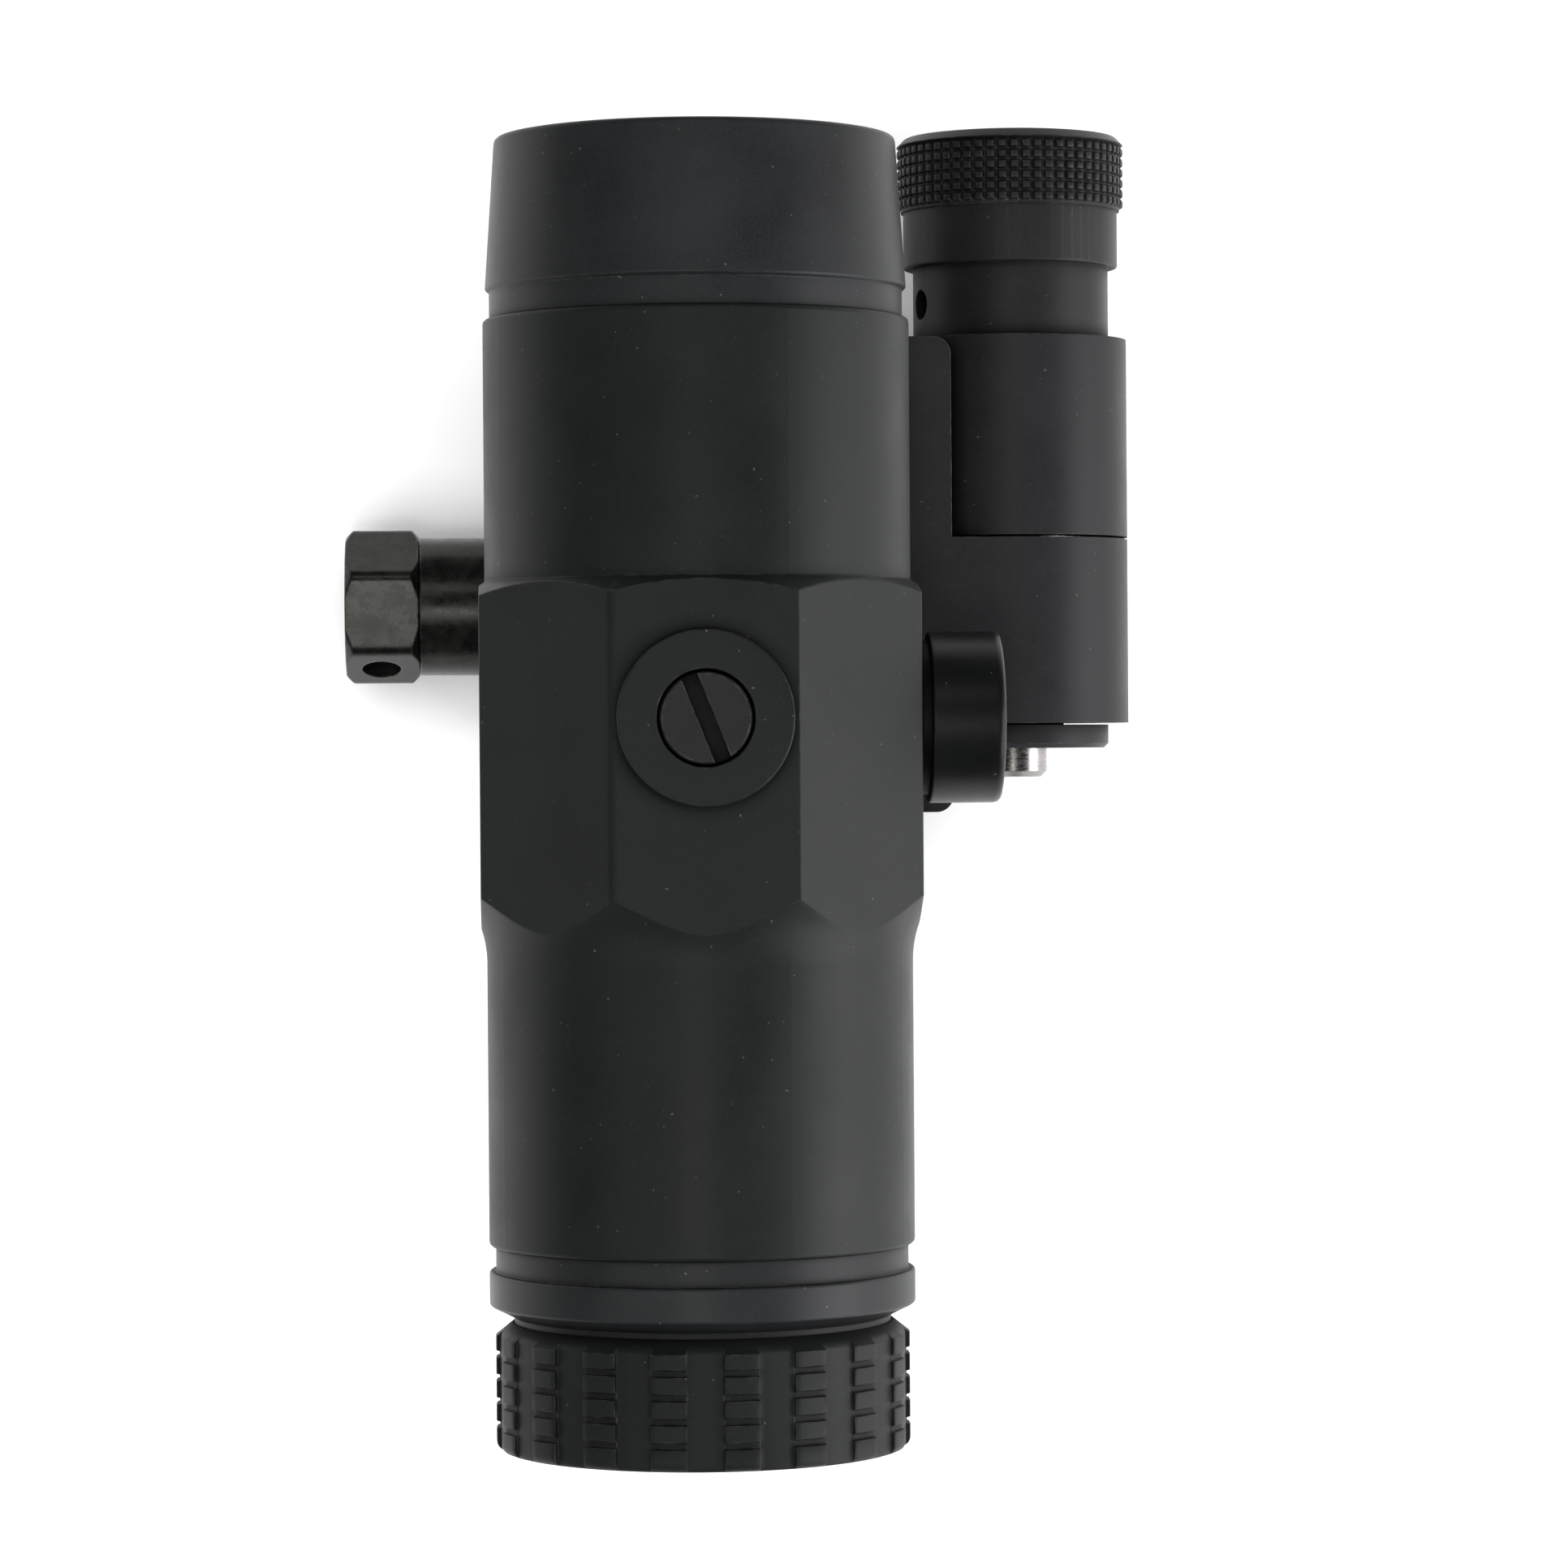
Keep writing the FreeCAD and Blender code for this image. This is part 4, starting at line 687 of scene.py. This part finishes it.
# one pitch of the knurl: where along it, and how much of a tooth stands there
TOOTH = ((0.0, 0.0), (0.11, 0.05), (0.27, 0.92), (0.42, 1.0), (0.66, 1.0), (0.83, 0.85),
         (0.95, 0.05))
KNOB_NECK_R = 8.7 * MM
KNOB_BAND_R = 9.55 * MM
KNOB_BAND = 29.65 * MM
KNOB_HEAD = 34.7 * MM
KNOB_BORE_R = 2.98 * MM
KNOB_BORE_END = 33.03 * MM
KNOB_DISH_R = 7.6 * MM
KNOB_PIN_STATION = 26.3 * MM
KNOB_PIN_LEAN = math.radians(72)
KNOB_PIN_R = 1.33 * MM
KNOB_PIN_END = -5.6 * MM
KNOB_EDGE = 0.7 * MM        # chamfer round the head's face
KNOB_DISH = 0.6 * MM        # depth of the dish, and width of its slope
KNURL_INSET = 0.15 * MM
KNURL_BEVEL = 0.95 * MM     # from the knurl's end to the head's face
KNURL_RUN_OUT = 0.22 * MM


def release_knob():
    knurl_start, knurl_end = KNOB_HEAD + KNURL_INSET, KNOB_HIGH.y - KNURL_BEVEL
    pitch = (knurl_end - knurl_start) / TOOTH_ROWS
    before = [(0, KNOB_BORE_END, 0), (KNOB_BORE_R, KNOB_BORE_END), (KNOB_BORE_R, KNOB_LOW.y),
              (KNOB_NECK_R, KNOB_LOW.y), (KNOB_NECK_R, KNOB_BAND, 0.05 * MM),
              (KNOB_BAND_R, KNOB_BAND, 0.25 * MM), (KNOB_BAND_R, KNOB_HEAD, 0.05 * MM)]
    face, dish = KNOB_HIGH.y, KNOB_HIGH.y - KNOB_DISH
    after = [(KNOB_HEAD_R - KNOB_EDGE, face, 0.5 * MM), (KNOB_DISH_R, face, 0.2 * MM),
             (KNOB_DISH_R - KNOB_DISH, dish, 0.2 * MM), (0, dish, 0)]
    rows = [(knurl_start + pitch * (row + share), stand)
            for row in range(TOOTH_ROWS) for share, stand in TOOTH]
    columns, angles = [], []
    for tooth in range(TEETH):
        for share, across in TOOTH:
            angles.append(2 * math.pi * (tooth + share) / TEETH)
            foot = KNOB_HEAD_R - TOOTH_DEEP
            column = before + [(foot, KNOB_HEAD, 0)]
            column += [(foot + TOOTH_DEEP * min(across, along), station, 0)
                       for station, along in rows]
            column += [(foot, knurl_end, 0), (KNOB_HEAD_R, knurl_end + KNURL_RUN_OUT, 0)] + after
            columns.append([tuple(point) for point in eased(column)])
    pin_way = Vector((-math.sin(KNOB_PIN_LEAN), 0, math.cos(KNOB_PIN_LEAN)))
    pin_at = HINGE + Vector((0, KNOB_PIN_STATION, 0))
    stand_in("release_knob", skin(columns, angles, HINGE, closed=False),
             [(pin_at, pin_way, KNOB_PIN_END, KNOB_NECK_R + DRILL_PAST, KNOB_PIN_R)])


# ---- adjusters ----------------------------------------------------------------------------

SCREW_WELL_R = 3.95 * MM
SCREW_HEAD = 2.46 * MM
SCREW_STEM_R = 2.66 * MM
TURRET_NECK = 0.9 * MM
TURRET_NECK_R = 6.4 * MM
TURRET_SEAL = 1.0 * MM
TURRET_SEAL_DEEP = 0.9 * MM


def turret(node, centre, turn, top, necked, round_off):
    """An adjuster's housing: a flange or drum, a shank through the wall, a screw well."""
    foot = FLAT + SLIP
    outer_r = (TOP_HIGH.x - TOP_LOW.x) / 2
    seal_high, seal_low = foot - TURRET_SEAL / 2, foot - TURRET_SEAL * 1.5
    seal_r = SHANK_R - TURRET_SEAL_DEEP
    outline = [(SCREW_STEM_R, SHANK_IN), (SHANK_R, SHANK_IN), (SHANK_R, seal_low),
               (seal_r, seal_low), (seal_r, seal_high), (SHANK_R, seal_high), (SHANK_R, foot)]
    if necked:
        outline += [(TURRET_NECK_R, foot), (TURRET_NECK_R, foot + TURRET_NECK),
                    (outer_r, foot + TURRET_NECK, 0.2 * MM)]
    else:
        outline += [(outer_r, foot, 0.05 * MM)]
    outline += [(outer_r, top, round_off), (SCREW_WELL_R, top, 0.12 * MM),
                (SCREW_WELL_R, top - SCREW_HEAD), (SCREW_STEM_R, top - SCREW_HEAD)]
    stand_in(node, lathe(outline, centre, turn))


# ---- clamp --------------------------------------------------------------------------------

NUT_APOTHEM = 6.15 * MM
NUT_BORE_R = 2.46 * MM
NUT_RIDGE = 1.1 * MM
NUT_LEAN = math.radians(-7)     # the uppermost side leans towards the eyepiece
NUT_END_R = 6.25 * MM
NUT_CHAMFER = 0.95
NUT_HOLE = -27.3 * MM
NUT_HOLE_R = 1.75 * MM
NUT_HOLE_SIDE = math.radians(-67)
NUT_HOLE_FLOOR = 3.1 * MM
NUT_HOLE_END = 9 * MM
NUT_LEAST_CHAMFER = 0.05 * MM


def clamp_nut():
    section = ridged(6, NUT_APOTHEM, [NUT_RIDGE] * 6, NUT_LEAN)
    inner, outer = -NUT_HIGH.x, -NUT_LOW.x
    columns = []
    for _, reach in section:
        end_r = min(NUT_END_R, reach - NUT_LEAST_CHAMFER)
        slope = (reach - end_r) * NUT_CHAMFER
        column = [(NUT_BORE_R, inner), (end_r, inner, 0.1 * MM), (reach, inner + slope, 0.25 * MM),
                  (reach, outer - slope, 0.35 * MM), (end_r, outer, 0.35 * MM),
                  (NUT_BORE_R, outer, 0.3 * MM)]
        columns.append([tuple(point) for point in eased(column)])
    way = Vector((0, math.sin(NUT_HOLE_SIDE), math.cos(NUT_HOLE_SIDE)))
    at = CLAMP + Vector((NUT_HOLE, 0, 0))
    holes = [(at, way * side, NUT_HOLE_FLOOR, NUT_HOLE_END, NUT_HOLE_R) for side in (1, -1)]
    stand_in("clamp_nut", skin(columns, [a for a, _ in section], CLAMP, ALONG_MINUS_X), holes)


def clamp_collar():
    radius = (SLEEVE_HIGH.z - SLEEVE_LOW.z) / 2
    inner, outer = -SLEEVE_HIGH.x, -SLEEVE_LOW.x
    stand_in("clamp_collar", lathe([
        (NUT_BORE_R, inner), (radius, inner, 0.5 * MM), (radius, outer, 0.12 * MM),
        (NUT_BORE_R, outer),
    ], CLAMP, ALONG_MINUS_X))


# ---- return spring ------------------------------------------------------------------------

COIL_R = 4.1 * MM
COIL_TURNS = 5.5
COIL_STEPS = 220
WIRE_R = 0.45 * MM
WIRE_SIDES = 12


def return_spring():
    low, high, _ = span("return_spring")
    first, length = low.y + WIRE_R, high.y - low.y - 2 * WIRE_R
    bm = bmesh.new()
    rings = []
    for step in range(COIL_STEPS + 1):
        share = step / COIL_STEPS
        angle = 2 * math.pi * COIL_TURNS * share
        out = Vector((math.cos(angle), 0, -math.sin(angle)))
        centre = HINGE + out * COIL_R + Vector((0, first + length * share, 0))
        around = [2 * math.pi * side / WIRE_SIDES for side in range(WIRE_SIDES)]
        rings.append([bm.verts.new(centre + out * (WIRE_R * math.cos(a))
                                   + Vector((0, WIRE_R * math.sin(a), 0))) for a in around])
    for ring, after in zip(rings, rings[1:]):
        for side in range(WIRE_SIDES):
            beside = (side + 1) % WIRE_SIDES
            bm.faces.new((ring[side], ring[beside], after[beside], after[side]))
    bm.faces.new(rings[0])
    bm.faces.new(rings[-1])
    piece = stand_in("return_spring", bm)
    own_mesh(piece)


# ---- stage --------------------------------------------------------------------------------

CAMERA_DISTANCE = 0.4487    # camera to the plane of the optical axis
CAMERA_ASIDE = 0.0052       # camera to the right of the optical axis, in its own frame
CAMERA_STATION = -0.01263   # the camera's place along the tube
OBJECT_LEAN = math.radians(2.5)     # the object is rolled this much towards its hinge
PICTURE_TURN = math.radians(0.42)   # the tube leans left by this much in the picture
AIM = Vector((0.00422, -0.00745, -1.0))
FLOOR_DROP = 1.2 * MM       # clear air between the part and the floor
VIEW_ANGLE = math.radians(16.58688)


def camera():
    """A camera straight above the tube, as far away as the picture's perspective says."""
    data = bpy.data.cameras.new("camera")
    data.sensor_fit = "HORIZONTAL"
    data.angle = VIEW_ANGLE
    data.clip_start = 0.01
    data.clip_end = 20
    eye = bpy.data.objects.new("camera", data)
    bpy.context.scene.collection.objects.link(eye)
    lean = Matrix.Rotation(-OBJECT_LEAN, 3, "Y")
    place = Vector((CAMERA_ASIDE, CAMERA_STATION, CAMERA_DISTANCE))
    up = Vector((math.sin(PICTURE_TURN), math.cos(PICTURE_TURN), 0))
    back = -AIM.normalized()
    right = up.cross(back).normalized()
    up = back.cross(right)
    axes = Matrix((right, up, back)).transposed()
    eye.matrix_world = Matrix.Translation(AXIS + lean @ place) @ (lean @ axes).to_4x4()
    bpy.context.scene.camera = eye


def area_light(name, place, aim, size, radiance, colour=(1, 1, 1), glossy=True):
    """A rectangular lamp, size across and up, of a given radiance."""
    data = bpy.data.lights.new(name, "AREA")
    data.shape = "RECTANGLE"
    data.size, data.size_y = size
    data.energy = radiance * math.pi * size[0] * size[1]
    data.color = colour
    lamp = bpy.data.objects.new(name, data)
    lamp.location = place
    lamp.rotation_euler = (Vector(aim) - Vector(place)).to_track_quat("-Z", "Y").to_euler()
    lamp.visible_glossy = glossy
    lamp.visible_camera = False
    bpy.context.scene.collection.objects.link(lamp)


def stage():
    """A pale floor, a broad sky, a window to the right and cards that light single faces."""
    drop = CAD_BOX[0][2] - FLOOR_DROP
    bpy.ops.mesh.primitive_plane_add(size=4.0, location=(0, 0, drop))
    floor = bpy.context.object
    floor.name = "floor"
    floor.data.materials.append(floor_material())
    middle = (0.0, -0.015, 0.03)
    area_light("sky", (0, 0, 1.3), middle, (1.8, 1.8), 3.5, glossy=False)
    area_light("window_right", (0.6, -0.2, 0.235), middle, (0.6, 0.42), 7.2, (0.98, 0.98, 1.0))
    area_light("card_front", (-0.02, 0.36, 0.62), middle, (0.14, 0.16), 4.0)
    area_light("card_back", (-0.07, -0.275, 0.88), middle, (0.14, 0.22), 4.5)
    area_light("card_nut", (-0.075, -0.137, 0.88), middle, (0.09, 0.10), 26.0, (1, 1, 0.94))
    area_light("card_left", (-0.36, -0.2, 0.46), middle, (0.42, 0.22), 1.9)
    world = bpy.data.worlds.new("studio")
    bpy.context.scene.world = world
    world.use_nodes = True
    world.node_tree.nodes["Background"].inputs["Color"].default_value = (0.9, 0.95, 1.0, 1)
    world.node_tree.nodes["Background"].inputs["Strength"].default_value = 0.04
    bpy.context.scene.view_settings.view_transform = "Standard"


dress_frame()
main_tube()
objective_bell()
rear_collar()
focus_ring()
release_knob()
turret("elevation_turret", TOP_AXIS, ALONG_Z, TOP_HIGH.z - AXIS.z, False, 0.2 * MM)
turret("windage_turret", SIDE_AXIS, ALONG_X, SIDE_HIGH.x, True, 0.7 * MM)
clamp_nut()
clamp_collar()
return_spring()
stage()
camera()
